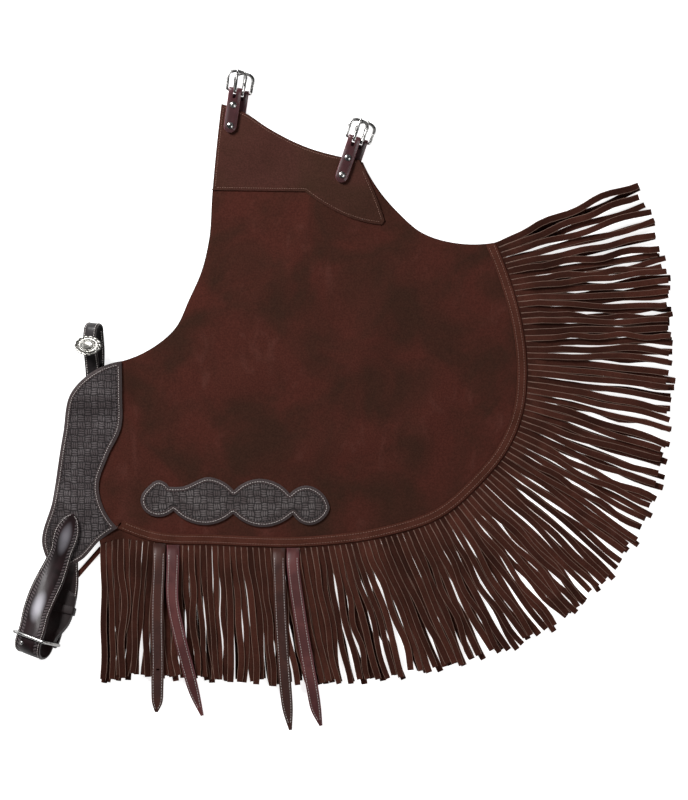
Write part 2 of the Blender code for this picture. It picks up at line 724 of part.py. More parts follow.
def chape(name, buckle, length, material, collection):
    """A strap end folded round the bar, with a slot for the tongue. Its origin is the bar's middle."""
    profile = [(-length, LAYER_OFFSET, 5.0), (-length + 2.0, LAYER_OFFSET, 10.6), (-length + 5.0, LAYER_OFFSET, 15.0),
               (-length + 9.0, LAYER_OFFSET, CHAPE_WIDTH), (-16.0, LAYER_OFFSET, CHAPE_WIDTH),
               (-SLOT_DEPTH, LAYER_OFFSET + 0.5, CHAPE_WIDTH), (-4.0, LOOP_RADIUS - 0.35, CHAPE_WIDTH)]
    turns = [(LOOP_RADIUS * math.cos(math.radians(angle)), LOOP_RADIUS * math.sin(math.radians(angle)), CHAPE_WIDTH)
             for angle in (90, 60, 30, 0, -30, -60, -90)]
    back = [(-4.0, -LOOP_RADIUS + 0.35, CHAPE_WIDTH), (-SLOT_DEPTH, -LAYER_OFFSET - 0.5, CHAPE_WIDTH),
            (-16.0, -LAYER_OFFSET, CHAPE_WIDTH), (-length + 12.0, -LAYER_OFFSET, CHAPE_WIDTH)]
    work = bmesh.new()
    rows = []
    for forward, height, width in profile + turns + back:
        inner = min(SLOT_HALF_WIDTH, width * 0.25)
        rows.append([work.verts.new(Vector((across, forward, height)) * MM)
                     for across in (-width / 2, -inner, inner, width / 2)])
    for before, after in zip(rows, rows[1:]):
        middle = (before[1].co.y + after[1].co.y) / 2 / MM
        for column in range(3):
            if column == 1 and middle > -SLOT_DEPTH:
                continue
            work.faces.new((before[column], before[column + 1], after[column + 1], after[column]))
    mesh = bpy.data.meshes.new(name)
    work.to_mesh(mesh)
    work.free()
    item = thicken(add_object(name, mesh, material, collection), CHAPE_LEATHER, 0.0)
    return place_on_bar(item, buckle)


BarPlace = namedtuple("BarPlace", "x y z tilt")


def place_on_bar(item, bar):
    """Puts a piece made about the bar's middle in its place on the leg."""
    item.location = ((bar.x + PLAN_SHIFT.x) * MM, (bar.y + PLAN_SHIFT.y) * MM, bar.z * MM)
    item.rotation_euler = (0.0, 0.0, math.radians(-bar.tilt))
    return item


FramePoint = namedtuple("FramePoint", "x y half_width half_height")
FRAME_SIDE = (
    FramePoint(5.0, 0.0, BAR_RADIUS, BAR_RADIUS), FramePoint(8.9, 0.0, BAR_RADIUS, BAR_RADIUS),
    FramePoint(10.4, 1.1, 1.8, 1.6), FramePoint(10.9, 4.2, 2.0, 1.5), FramePoint(10.9, 10.5, 2.0, 1.5),
    FramePoint(11.3, 16.0, 2.1, 1.5), FramePoint(10.2, 20.6, 2.2, 1.5), FramePoint(6.6, 23.7, 2.1, 1.5),
    FramePoint(0.0, 24.7, 1.9, 1.5),
)
SECTION_SIDES = 6


def leg_buckle_frame(name, bar, material, collection):
    """A round-topped frame in one loop: a straight round bar at the strap, flat stock round the rest."""
    mirrored = [FramePoint(-point.x, point.y, point.half_width, point.half_height) for point in FRAME_SIDE[-2::-1]]
    path = list(FRAME_SIDE) + mirrored
    rings = []
    for index, point in enumerate(path):
        before = path[index - 1]
        after = path[(index + 1) % len(path)]
        along = Vector((after.x - before.x, after.y - before.y)).normalized()
        outward = Vector((along.y, -along.x, 0.0))
        ring = []
        for side in range(SECTION_SIDES):
            turn = 2 * math.pi * (side + 0.5) / SECTION_SIDES
            ring.append(Vector((point.x, point.y, 0.0)) + outward * point.half_width * math.cos(turn)
                        + Vector((0.0, 0.0, point.half_height * math.sin(turn))))
        rings.append(ring)
    return place_on_bar(loft(name, rings, True, material, collection), bar)


def leg_buckle_tongue(name, bar, material, collection):
    """A tongue of flat wire: an open eye round the bar, and an arm that rests on the frame's far side."""
    path = []
    for step in range(9):
        turn = math.radians(350.0 - 32.5 * step)
        path.append((TONGUE_EYE_RADIUS * math.cos(turn), TONGUE_EYE_RADIUS * math.sin(turn), TONGUE_WIDTH))
    path.extend([(8.0, TONGUE_EYE_RADIUS, TONGUE_WIDTH), (18.0, TONGUE_EYE_RADIUS, TONGUE_WIDTH * 0.9),
                 (24.5, TONGUE_EYE_RADIUS, TONGUE_WIDTH * 0.8), (28.0, TONGUE_EYE_RADIUS - 0.4, TONGUE_WIDTH * 0.5)])
    rings = []
    for index, (forward, height, width) in enumerate(path):
        before = path[max(index - 1, 0)]
        after = path[min(index + 1, len(path) - 1)]
        along = Vector((0.0, after[0] - before[0], after[1] - before[1])).normalized()
        normal = Vector((0.0, -along.z, along.y))
        centre = Vector((0.0, forward, height))
        rings.append([centre + Vector((across * width / 2, 0.0, 0.0)) + normal * lift * TONGUE_THICKNESS / 2
                      for across, lift in ((-1, -1), (1, -1), (1, 1), (-1, 1))])
    return place_on_bar(loft(name, rings, False, material, collection), bar)


def rivet(name, centre, radius, height, material, collection, tilt=None):
    """A low domed rivet head: a turned profile."""
    profile = [(0.0, height), (radius * 0.55, height * 0.86), (radius * 0.88, height * 0.5), (radius, 0.0), (0.0, 0.0)]
    mesh = bpy.data.meshes.new(name)
    verts = [(across * MM, 0.0, up * MM) for across, up in profile]
    mesh.from_pydata(verts, [(index, index + 1) for index in range(len(verts) - 1)], [])
    item = add_object(name, mesh, material, collection)
    turned = item.modifiers.new("turned", "SCREW")
    turned.steps = 10
    turned.render_steps = 10
    turned.use_merge_vertices = True
    turned.merge_threshold = 0.00001
    turned.use_smooth_shade = True
    item.location = (centre + PLAN_SHIFT.to_3d()) * MM
    if tilt is not None:
        item.rotation_euler = Vector((0.0, 0.0, 1.0)).rotation_difference(tilt).to_euler()
    return item


def leg_hardware(prefix, shift, rest_height, materials, collection):
    """Chapes with their buckles for one leg; rest_height gives the surface under each chape."""
    bars = []
    for buckle in LEG_BUCKLES:
        place = buckle.bar + shift
        top = rest_height(buckle, place)
        bar = BarPlace(place.x, place.y, top + SEAM_GAP + CHAPE_LEATHER + SEAM_GAP / 2, buckle.tilt)
        bars.append(bar)
        number = buckle.number
        chape(f"{prefix}_chape_{number}", bar, buckle.length, materials["strap_leather"], collection)
        leg_buckle_frame(f"{prefix}_buckle_frame_{number}", bar, materials["nickel"], collection)
        leg_buckle_tongue(f"{prefix}_buckle_tongue_{number}", bar, materials["nickel"], collection)
    return bars


def chape_rivets(bars, materials, collection):
    """Two domed rivets on each chape of the right leg."""
    for buckle, bar in zip(LEG_BUCKLES, bars):
        lean = math.radians(buckle.tilt)
        ahead = Vector((math.sin(lean), math.cos(lean)))
        for letter, forward in zip("ab", buckle.rivets):
            place = Vector((bar.x, bar.y)) + ahead * forward
            top = bar.z + LAYER_OFFSET + CHAPE_LEATHER / 2 + SEAM_GAP
            rivet(f"right_rivet_{buckle.number}{letter}", place.to_3d() + Vector((0.0, 0.0, top)),
                  RIVET_RADIUS, RIVET_HEIGHT, materials["nickel"], collection)


def rolled_plane(axis, across, roll, turn):
    """Frame of a tilted loop: its width direction, its normal, and the way its bend points."""
    lean = math.radians(roll)
    side = across * math.cos(lean) + Vector((0.0, 0.0, math.sin(lean)))
    heading = Vector((across.y, -across.x, 0.0)) * turn
    normal = -across * math.sin(lean) + Vector((0.0, 0.0, math.cos(lean)))
    return Plane(axis, side, normal, heading)


BeltRow = namedtuple("BeltRow", "x y z roll width")
# Near half of the belt: from its petal end on the right yoke to the start of the bend
BELT_NEAR = (
    BeltRow(-342.9, -144.5, None, 0.0, 3.0), BeltRow(-344.7, -149.0, None, 0.0, 16.0),
    BeltRow(-347.3, -156.5, None, 0.0, 25.5), BeltRow(-350.8, -166.4, None, 0.0, 31.5),
    BeltRow(-354.6, -178.5, None, 0.0, 32.0), BeltRow(-358.6, -192.3, None, 1.0, 29.0),
    BeltRow(-364.0, -208.0, 14.6, 5.0, 31.5), BeltRow(-371.6, -226.5, 19.5, 11.0, 36.0),
    BeltRow(-380.6, -246.5, 27.5, 18.0, BELT_WIDTH), BeltRow(-388.4, -268.5, 37.0, 24.0, BELT_WIDTH),
    BeltRow(-392.9, -289.0, 44.0, 27.5, BELT_WIDTH),
)
# Far half: from its petal end between the yokes to the buckle bar
BELT_FAR = (
    BeltRow(-345.4, -146.5, 4.8, 0.0, 3.0), BeltRow(-346.2, -151.0, 4.8, 0.0, 16.0),
    BeltRow(-347.2, -158.0, 4.8, 0.0, 25.5), BeltRow(-348.8, -168.0, 4.8, 0.0, 31.0),
    BeltRow(-351.8, -191.8, 4.8, 0.0, 30.0), BeltRow(-353.7, -213.0, 4.8, 0.0, 33.0),
    BeltRow(-354.9, -230.0, 5.6, 3.0, 36.5), BeltRow(-357.6, -252.0, 9.8, 12.0, BELT_WIDTH),
    BeltRow(-364.5, -279.0, 14.6, 22.0, BELT_WIDTH),
)
PETAL_ROWS = 6


def belt_side(row, ahead):
    """Width direction of a belt station with its roll."""
    across = Vector((-ahead.y, ahead.x, 0.0)).normalized()
    if across.x < 0:
        across = -across
    lean = math.radians(row.roll)
    return across * math.cos(lean) + Vector((0.0, 0.0, math.sin(lean)))


def belt_stations(rows, heights):
    """Stations of a belt half from its rows."""
    stations = []
    for index, (row, height) in enumerate(zip(rows, heights)):
        before = rows[max(index - 1, 0)]
        after = rows[min(index + 1, len(rows) - 1)]
        ahead = Vector((after.x - before.x, after.y - before.y, 0.0))
        stations.append(Station(Vector((row.x, row.y, height)), belt_side(row, ahead), row.width))
    return stations


def bend(plane, radius, start, end, count, width):
    """Stations round a bend, from one angle to another; 90 degrees is the near face."""
    stations = []
    for step in range(count + 1):
        turn = math.radians(start + (end - start) * step / count)
        centre = plane.axis + plane.normal * radius * math.sin(turn) + plane.heading * radius * math.cos(turn)
        stations.append(Station(centre, plane.across, width))
    return stations


def belt(yoke_tree, materials, collection):
    """Both halves of the back belt, its buckle frame, keeper and rivet."""
    leather = materials["belt_leather"]
    plane = rolled_plane(BELT_LOOP_AXIS, BELT_ACROSS, BELT_LOOP_ROLL, 1.0)
    heights = []
    for row in BELT_NEAR:
        if row.z is None:
            heights.append(highest_under(yoke_tree, Vector((row.x, row.y)), 13.0) + SEAM_GAP + BELT_LEATHER / 2)
        else:
            heights.append(row.z)
    flat_top = max(heights[:PETAL_ROWS])
    heights[:PETAL_ROWS] = [flat_top] * PETAL_ROWS
    near = belt_stations(BELT_NEAR, heights)
    near.extend(bend(plane, BELT_LOOP_RADIUS, 90.0, -90.0, 8, BELT_WIDTH))
    spacing = BELT_LEATHER + SEAM_GAP + TAIL_ROOM
    far_radius = BELT_LOOP_RADIUS + spacing
    bar_radius = far_radius + BELT_LEATHER / 2 + SEAM_GAP + BELT_BAR_RADIUS
    curl_radius = BELT_BAR_RADIUS + SEAM_GAP + BELT_LEATHER / 2
    setback = plane.heading * BELT_BAR_SETBACK
    bar = plane.axis - plane.normal * bar_radius - setback
    curl = rolled_plane(bar, BELT_ACROSS, BELT_LOOP_ROLL, 1.0)
    far = belt_stations(BELT_FAR, [row.z for row in BELT_FAR])
    far.append(Station(bar + plane.normal * curl_radius - plane.heading * 6.0, plane.across, BELT_WIDTH))
    tail = []
    for index in (9, 8, 7):
        lift = station_normal(far, index) * spacing
        tail.append(Station(far[index].centre + lift, far[index].side, BELT_WIDTH))
    next_lift = station_normal(far, 6) * spacing
    for share, width in ((0.25, 34.0), (0.42, 25.0), (0.55, 8.0)):
        centre = (far[7].centre + lift).lerp(far[6].centre + next_lift, share)
        tail.append(Station(centre, far[7].side.lerp(far[6].side, share), width))
    ribbon("belt_billet_half", near + tail, BELT_LEATHER, leather, collection)
    keeper(far, leather, collection)
    far.extend(bend(curl, curl_radius, 90.0, -90.0, 6, BELT_WIDTH))
    far.append(Station(bar - plane.normal * curl_radius - plane.heading * 14.0, plane.across, BELT_WIDTH))
    ribbon("belt_buckle_half", far, BELT_LEATHER, leather, collection)

    front_reach = BELT_LOOP_RADIUS + BELT_LEATHER / 2 + SEAM_GAP + BELT_BAR_RADIUS
    half_width = BELT_WIDTH / 2 + BELT_BAR_RADIUS + 2.6
    corners = ((-half_width, -bar_radius), (half_width, -bar_radius), (half_width, front_reach),
               (-half_width, front_reach))
    rings = []
    for index, (across, up) in enumerate(corners):
        before = corners[index - 1]
        after = corners[(index + 1) % 4]
        for neighbour in (before, after):
            along = Vector((neighbour[0] - across, neighbour[1] - up))
            inset = Vector((across, up)) + along.normalized() * 3.0
            direction = -along.normalized() if neighbour is before else along.normalized()
            outward = Vector((direction.y, -direction.x))
            ring = []
            for side in range(SECTION_SIDES):
                turn = 2 * math.pi * (side + 0.5) / SECTION_SIDES
                spot = inset + outward * BELT_BAR_RADIUS * math.cos(turn)
                ring.append(plane.axis - setback + PLAN_SHIFT.to_3d() + plane.across * spot.x + plane.normal * spot.y
                            + plane.heading * BELT_BAR_RADIUS * math.sin(turn))
            rings.append(ring)
    loft("belt_buckle_frame", rings, True, materials["nickel"], collection)

    rivet_spot = plane.axis + plane.normal * (BELT_LOOP_RADIUS + BELT_LEATHER / 2 + SEAM_GAP)
    rivet("belt_rivet", rivet_spot - plane.across * 8.5 + plane.heading * 4.6 - plane.normal * 0.6,
          2.6, 1.2, materials["nickel"], collection, plane.normal * 0.94 + plane.heading * 0.34)


def station_normal(stations, index):
    """Upward normal of a strap at one of its stations."""
    before = stations[max(index - 1, 0)].centre
    after = stations[min(index + 1, len(stations) - 1)].centre
    normal = stations[index].side.cross(after - before).normalized()
    return -normal if normal.z < 0 else normal


def keeper(far, leather, collection):
    """A narrow closed loop round the far half and the billet's tail."""
    lower = far[7].centre.lerp(far[8].centre, 0.45)
    side = far[7].side.lerp(far[8].side, 0.45).normalized()
    along = (far[8].centre - far[7].centre).normalized()
    normal = side.cross(along)
    normal = -normal if normal.z < 0 else normal
    middle = lower + normal * (BELT_LEATHER + SEAM_GAP + TAIL_ROOM) / 2
    half_width = BELT_WIDTH / 2 + KEEPER_SIDE_ROOM
    half_height = BELT_LEATHER + SEAM_GAP + KEEPER_ROOM
    corners = ((-half_width, -half_height), (half_width, -half_height), (half_width, half_height),
               (-half_width, half_height))
    rings = []
    for across, up in corners:
        ring = []
        for outset, forward in ((-0.7, -5.0), (0.7, -5.0), (0.7, 5.0), (-0.7, 5.0)):
            spot_across = across + outset * math.copysign(1.0, across)
            spot_up = up + outset * math.copysign(1.0, up)
            ring.append(middle + PLAN_SHIFT.to_3d() + side * spot_across + normal * spot_up + along * forward)
        rings.append(ring)
    loft("belt_keeper", rings, True, leather, collection)


FrontRow = namedtuple("FrontRow", "x y z roll")
FRONT_UPPER = (FrontRow(-318.6, 22.0, 6.6, 0.0), FrontRow(-318.9, 36.0, 6.6, 0.0), FrontRow(-319.8, 47.0, 9.6, 8.0),
               FrontRow(-320.9, 58.0, 15.0, 17.0))
FRONT_LOWER = (FrontRow(-313.7, 22.0, 4.3, 0.0), FrontRow(-313.4, 36.0, 4.3, 0.0), FrontRow(-312.8, 48.0, 4.6, 5.0),
               FrontRow(-312.2, 64.0, 5.4, 18.0))


def front_strap(materials, collection):
    """The short front strap in two halves, fastened through a silver slide buckle."""
    leather = materials["belt_leather"]
    plane = rolled_plane(FRONT_LOOP_AXIS, FRONT_ACROSS, FRONT_LOOP_ROLL, -1.0)
    upper = belt_stations(FRONT_UPPER_ROWS, [row.z for row in FRONT_UPPER])
    lower = belt_stations(FRONT_LOWER_ROWS, [row.z for row in FRONT_LOWER])
    lower.extend(bend(plane, FRONT_LOOP_RADIUS, -90.0, 90.0, 7, FRONT_STRAP_WIDTH))
    end = plane.axis + plane.normal * FRONT_LOOP_RADIUS
    lower.append(Station(end - plane.heading * 16.0, plane.across, FRONT_STRAP_WIDTH))
    ribbon("front_strap_lower", lower, FRONT_STRAP_LEATHER, leather, collection)
    ribbon("front_strap_upper", upper, FRONT_STRAP_LEATHER, leather, collection)
    silver_buckle(end - plane.heading * 19.0, plane, materials["silver"], collection)


FRONT_UPPER_ROWS = tuple(BeltRow(row.x, row.y, row.z, row.roll, FRONT_STRAP_WIDTH) for row in FRONT_UPPER)
FRONT_LOWER_ROWS = tuple(BeltRow(row.x, row.y, row.z, row.roll, FRONT_STRAP_WIDTH) for row in FRONT_LOWER)

PLATE_HALF_LENGTH = 19.0
PLATE_HALF_WIDTH = 12.5
PLATE_LOBES = 14
PLATE_TURN = -16.0
PlateRing = namedtuple("PlateRing", "share height")
PLATE_RINGS = (PlateRing(1.0, 0.0), PlateRing(1.0, 1.2), PlateRing(0.78, 2.3), PlateRing(0.5, 2.5), PlateRing(0.42, 3.6))


def silver_buckle(centre, plane, material, collection):
    """A scalloped domed plate over the strap, and the bar behind it that holds the strap."""
    base = centre + plane.normal * (FRONT_STRAP_LEATHER / 2 + SEAM_GAP)
    lean = math.radians(PLATE_TURN + 20.0)
    long_way = plane.across * math.cos(lean) + plane.heading * math.sin(lean)
    short_way = plane.heading * math.cos(lean) - plane.across * math.sin(lean)
    rings = []
    for row in PLATE_RINGS:
        ring = []
        for step in range(2 * PLATE_LOBES):
            around = math.pi * step / PLATE_LOBES
            lobe = 1.0 - (0.08 if step % 2 else 0.0) * (row.share > 0.7)
            ring.append(base + PLAN_SHIFT.to_3d() + plane.normal * row.height
                        + long_way * PLATE_HALF_LENGTH * row.share * lobe * math.cos(around)
                        + short_way * PLATE_HALF_WIDTH * row.share * lobe * math.sin(around))
        rings.append(ring)
    loft("silver_buckle_plate", rings, False, material, collection)
    half = FRONT_STRAP_WIDTH / 2 + 1.4
    depth = FRONT_STRAP_LEATHER + 2 * SEAM_GAP + 0.8
    path = ((-half, -SEAM_GAP), (-half, -depth - 0.8), (half, -depth - 0.8), (half, -SEAM_GAP))
    rings = []
    for index, (across, up) in enumerate(path):
        inward = -math.copysign(0.8, across)
        first = index in (0, 3)
        ring = []
        for side, forward in ((-1, -1.6), (1, -1.6), (1, 1.6), (-1, 1.6)):
            lift = 0.0 if first else -side * 0.8
            ring.append(base + PLAN_SHIFT.to_3d() + plane.across * (across - side * inward)
                        + plane.normal * (up + lift) + plane.heading * forward)
        rings.append(ring)
    loft("silver_buckle_bar", rings, False, material, collection)


def hem_height(hem, x):
    """Plan Y of the hem's bottom stretch at an X."""
    for before, after in zip(hem, hem[1:]):
        if before.y < 0 and after.x <= x <= before.x:
            share = (x - before.x) / (after.x - before.x)
            return before.y + share * (after.y - before.y)
    return hem[-1].y


def leg_straps(plan, materials, collection):
    """Four straps that leave the hem on top of the fringe and hang past its tips."""
    rest = 2 * (SUEDE + SEAM_GAP) + LEG_STRAP_LEATHER / 2 + 0.4
    top = FRINGE_TOP + SEAM_GAP + LEG_STRAP_LEATHER / 2 + 0.3
    for row in LEG_STRAPS:
        start = hem_height(plan.hem, row.root_x)
        places = [(row.root_x, start - step) for step in STRAP_ROOT_STEPS] + list(row.points)
        roll_lift = math.sin(math.radians(row.roll)) * LEG_STRAP_WIDTH / 2
        heights = (rest, rest, top, top + roll_lift, top + roll_lift, top + roll_lift, top - 1.5, top - 4.0)
        rolls = (0.0, 0.0, 0.0, row.roll, row.roll, row.roll, row.roll / 2, row.roll / 2)
        widths = (LEG_STRAP_WIDTH,) * 6 + (LEG_STRAP_WIDTH * 0.86, 4.0)
        rows = [BeltRow(x, y, z, roll, width)
                for (x, y), z, roll, width in zip(places, heights, rolls, widths)]
        ribbon(row.name, belt_stations(rows, heights), LEG_STRAP_LEATHER, materials["strap_leather"], collection)


def tie_thong(materials, collection):
    """A thin thong from the left fringe strip to the belt's far half."""
    rows = (BeltRow(-308.5, -194.5, 1.4, 0.0, 8.0), BeltRow(-318.0, -204.0, 1.4, 0.0, 8.0),
            BeltRow(-331.6, -218.5, 1.4, 0.0, 8.0))
    ribbon("tie_thong", belt_stations(rows, [row.z for row in rows]), THONG_LEATHER, materials["suede"], collection)


def left_leg(plan, materials, collection):
    """The lower leg: flat on the floor, its seams butted so that its underside lies level."""
    shift = LEFT_LEG_SHIFT
    seam = [point + Vector((0.4, 0.0)) for point in smooth_curve(YOKE_CURVE, OUTLINE_STEP)[1:-1]]
    panel = plan.thigh[1:-1] + plan.panel_hem[:-1] + [Vector((-286.0, -155.0))] + seam + [Vector((-280.6, 49.6))]
    plate("left_leg_panel", [point + shift for point in panel], 0.0, SUEDE, materials["suede"], collection)
    plate("left_yoke", [point + shift for point in plan.yoke], 0.0, YOKE_LEATHER, materials["stamped_leather"],
          collection)
    fringe("left_fringe", plan, shift, LEFT_STRANDS, LEFT_FIRST_LAYER, lambda place: 0.0, 11, materials["suede"],
           collection)
    leg_hardware("left", LEFT_BUCKLE_SHIFT, lambda buckle, place: SUEDE, materials, collection)


def right_leg(plan, materials, collection):
    """The upper leg: a panel with its facing, band, patch and yoke stacked on the same plan points."""
    plan_mesh = PlanMesh(plan)
    on_panel = SUEDE + SEAM_GAP
    suede = materials["suede"]

    def over_panel(point):
        return plan.underside(point) + on_panel

    def yoke_underside(point):
        away = 0.0 if inside(plan.panel, point) else distance_to(plan.panel, point)
        return plan.underside(point) + on_panel * (1 - ease(away / 30.0))

    sheet("right_leg_panel", plan_mesh, plan_mesh.region(lambda spot: inside(plan.panel, spot)),
          plan.underside, SUEDE, suede, collection)
    facing = sheet("right_thigh_facing", plan_mesh,
                   plan_mesh.region(lambda spot: inside(plan.panel, spot) and inside(plan.facing, spot)),
                   over_panel, FACING_SUEDE, materials["facing_suede"], collection)
    sheet("right_patch", plan_mesh, plan_mesh.region(lambda spot: inside(plan.patch, spot)),
          over_panel, PATCH_LEATHER, materials["stamped_leather"], collection)
    sheet("right_hem_band", plan_mesh, plan_mesh.region(lambda spot: inside(plan.band, spot)),
          over_panel, BAND_SUEDE, suede, collection)
    yoke = sheet("right_yoke", plan_mesh, plan_mesh.region(lambda spot: inside(plan.yoke, spot)),
                 yoke_underside, YOKE_LEATHER, materials["stamped_leather"], collection)
    fringe("right_fringe", plan, Vector((0.0, 0.0)), RIGHT_STRANDS, RIGHT_FIRST_LAYER, plan.underside, 5, suede,
           collection)
    facing_tree = top_surface(facing)

    def chape_rest(buckle, place):
        lean = math.radians(buckle.tilt)
        back = Vector((math.sin(lean), math.cos(lean)))
        return max(highest_under(facing_tree, place - back * reach, 9.0) for reach in (24.0, 36.0, buckle.length - 6.0))

    bars = leg_hardware("right", Vector((0.0, 0.0)), chape_rest, materials, collection)
    chape_rivets(bars, materials, collection)
    return top_surface(yoke)


def main():
    """Builds every piece of the pair."""
    clear_scene()
    collection = bpy.data.collections.new("leather_chaps")
    bpy.context.scene.collection.children.link(collection)
    materials = make_materials()
    plan = LegPlan()
    left_leg(plan, materials, collection)
    yoke_tree = right_leg(plan, materials, collection)
    leg_straps(plan, materials, collection)
    tie_thong(materials, collection)
    belt(yoke_tree, materials, collection)
    front_strap(materials, collection)


main()
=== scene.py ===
"""Looks of a pair of short fringed suede chaps, folded in half and laid flat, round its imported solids.

Plan shapes are in millimetres from the middle of the photograph, +X to the knee hem and +Y to the inner
edge. make_piece turns them into metres in the part's frame.
"""
from __future__ import annotations

import logging
import math
import random
from dataclasses import dataclass
from enum import Enum
from typing import Callable, Sequence

import bpy
import numpy as np
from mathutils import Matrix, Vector
from mathutils.geometry import delaunay_2d_cdt

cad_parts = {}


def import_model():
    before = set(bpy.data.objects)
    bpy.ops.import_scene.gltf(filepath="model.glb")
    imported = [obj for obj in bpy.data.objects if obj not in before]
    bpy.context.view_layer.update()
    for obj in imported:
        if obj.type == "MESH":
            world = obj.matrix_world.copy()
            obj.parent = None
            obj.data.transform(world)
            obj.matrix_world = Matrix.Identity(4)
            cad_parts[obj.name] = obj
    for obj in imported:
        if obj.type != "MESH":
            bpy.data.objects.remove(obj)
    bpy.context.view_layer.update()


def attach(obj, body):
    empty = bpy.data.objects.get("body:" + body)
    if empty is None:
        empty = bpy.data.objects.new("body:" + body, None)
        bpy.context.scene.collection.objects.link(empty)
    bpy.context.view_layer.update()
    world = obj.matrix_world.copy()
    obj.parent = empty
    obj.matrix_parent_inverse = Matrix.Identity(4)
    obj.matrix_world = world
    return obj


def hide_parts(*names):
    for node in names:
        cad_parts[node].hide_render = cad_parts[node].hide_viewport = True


LOG = logging.getLogger("chaps")
MM = 0.001
PLAN_SHIFT = np.array((-1.85, -0.68, 0.0))
UP = np.array((0.0, 0.0, 1.0))
PHOTO_HEIGHT = 1.016
OUTLINE_STEP = 2.0

SEAM_GAP = 0.3
SUEDE = 2.2
FACING_SUEDE = 2.0
YOKE_LEATHER = 3.0
PATCH_LEATHER = 2.4
BAND_SUEDE = 1.5
BELT_LEATHER = 3.0
FRONT_STRAP_LEATHER = 2.0
LEG_STRAP_LEATHER = 2.4
CHAPE_LEATHER = 1.8
CHAPE_WIDTH = 16.0
BAR_RADIUS = 1.6
WEAVE_BLOCK = 8.6

Plan = np.ndarray
Points = np.ndarray
Material = bpy.types.Material
Piece = bpy.types.Object


class Turn(Enum):
    """How an outline passes through a knot."""

    ROUND = "round"
    SHARP = "sharp"


class Side(Enum):
    """Which leg of the pair a piece belongs to."""

    RIGHT = "right"
    LEFT = "left"


R = Turn.ROUND
S = Turn.SHARP
Knots = Sequence[tuple[float, float, Turn]]

THIGH_EDGE: Knots = (
    (-282.2, 49.3, S), (-243.3, 66.3, R), (-214.1, 91.4, R), (-196.8, 127.0, R), (-180.3, 165.1, R),
    (-171.4, 203.2, R), (-167.3, 260.4, R), (-161.3, 323.9, R), (-155.4, 375.4, S), (-124.5, 363.5, R),
    (-95.8, 344.7, R), (-42.3, 318.9, R), (-3.2, 308.2, R), (21.0, 303.8, S), (36.3, 275.6, R),
    (64.5, 241.3, R), (100.1, 211.8, R), (147.3, 198.5, R), (191.6, 199.9, S),
)
HEM_EDGE: Knots = (
    (191.6, 199.9, S), (211.6, 148.1, R), (226.2, 92.2, R), (231.5, 33.8, R), (226.2, -16.6, R),
    (206.2, -64.5, R), (171.4, -107.3, R), (126.6, -146.1, R), (54.9, -171.7, R), (-31.8, -184.2, R),
    (-165.1, -182.9, R), (-245.4, -177.8, R), (-287.0, -162.3, S),
)
PANEL_WAIST_EDGE: Knots = (
    (-287.0, -162.3, S), (-306.1, -147.3, R), (-327.0, -108.0, R), (-316.2, -66.0, R), (-301.0, -31.8, R),
    (-299.5, 39.8, S), (-282.2, 49.3, S),
)
YOKE_CURVE: Knots = (
    (-287.0, -162.3, S), (-304.0, -138.8, R), (-311.3, -110.5, R), (-300.0, -72.4, R), (-283.0, -35.1, R),
    (-281.4, 6.3, R), (-282.2, 49.3, S),
)
YOKE_BACK: Knots = (
    (-282.2, 49.3, S), (-324.2, 32.3, R), (-345.4, 10.4, R), (-356.6, -43.2, R), (-369.6, -127.0, R),
    (-381.5, -189.2, R), (-373.4, -205.7, R), (-355.6, -212.1, R), (-336.6, -205.2, R),
    (-307.3, -176.1, R), (-287.0, -162.3, S),
)
FACING_INNER_EDGE: Knots = (
    (19.5, 307.0, S), (34.3, 273.4, R), (45.0, 246.8, R), (51.2, 227.1, S), (47.6, 222.6, S),
    (13.0, 229.7, R), (-26.3, 248.5, R), (-49.5, 264.8, S), (-167.9, 266.4, S),
)
PATCH_OUTLINE: Knots = (
    (-258.2, -127.6, R), (-247.7, -109.2, R), (-235.8, -101.9, R), (-222.2, -110.1, S), (-206.8, -110.1, R),
    (-169.8, -98.0, R), (-139.7, -114.9, S), (-109.5, -100.1, R), (-68.7, -119.1, S), (-48.3, -108.6, R),
    (-25.9, -119.9, R), (-18.2, -136.4, S), (-47.4, -158.4, R), (-64.8, -145.2, S), (-109.5, -160.7, R),
    (-140.6, -144.1, S), (-171.7, -158.4, R), (-216.4, -140.3, S), (-237.9, -148.1, R), (-254.6, -138.4, R),
)


@dataclass(frozen=True)
class RootRow:
    """How the fringe lies at one spot of the hem."""

    x: float
    y: float
    angle: float
    length: float


FRINGE_ROWS = tuple(RootRow(*row) for row in (
    (-307.5, -190.0, 91.0, 172.0), (-287.0, -170.0, 92.0, 175.0), (-182.9, -182.9, 88.0, 170.0),
    (-55.9, -184.2, 80.0, 177.0), (7.6, -181.6, 73.0, 178.0), (45.7, -175.3, 69.0, 180.0),
    (88.9, -162.0, 64.0, 182.0), (127.0, -146.1, 58.0, 190.0), (158.8, -121.9, 50.0, 198.0),
    (190.5, -88.9, 40.0, 201.0), (210.8, -55.9, 28.0, 196.0), (223.5, -19.1, 18.0, 188.0),
    (229.9, 34.3, 7.0, 183.0), (228.6, 76.2, 0.0, 185.0), (218.4, 127.0, -3.0, 194.0),
    (207.0, 162.6, -8.0, 196.0), (200.7, 180.3, -14.0, 196.0), (191.8, 199.4, -24.0, 194.0),
))
STRIP_UNDER_YOKE = (
    ((-263.6, -164.6), (-266.0, -186.4)), ((-281.3, -157.6), (-278.0, -187.0)),
    ((-283.2, -165.0), (-286.0, -187.6)), ((-295.0, -172.8), (-297.0, -188.6)),
    ((-304.6, -179.4), (-308.5, -190.0)),
)


@dataclass(frozen=True)
class Swell:
    """A soft rise of the upper leg, in plan an ellipse."""

    x: float
    y: float
    half_length: float
    half_width: float
    angle: float
    height: float


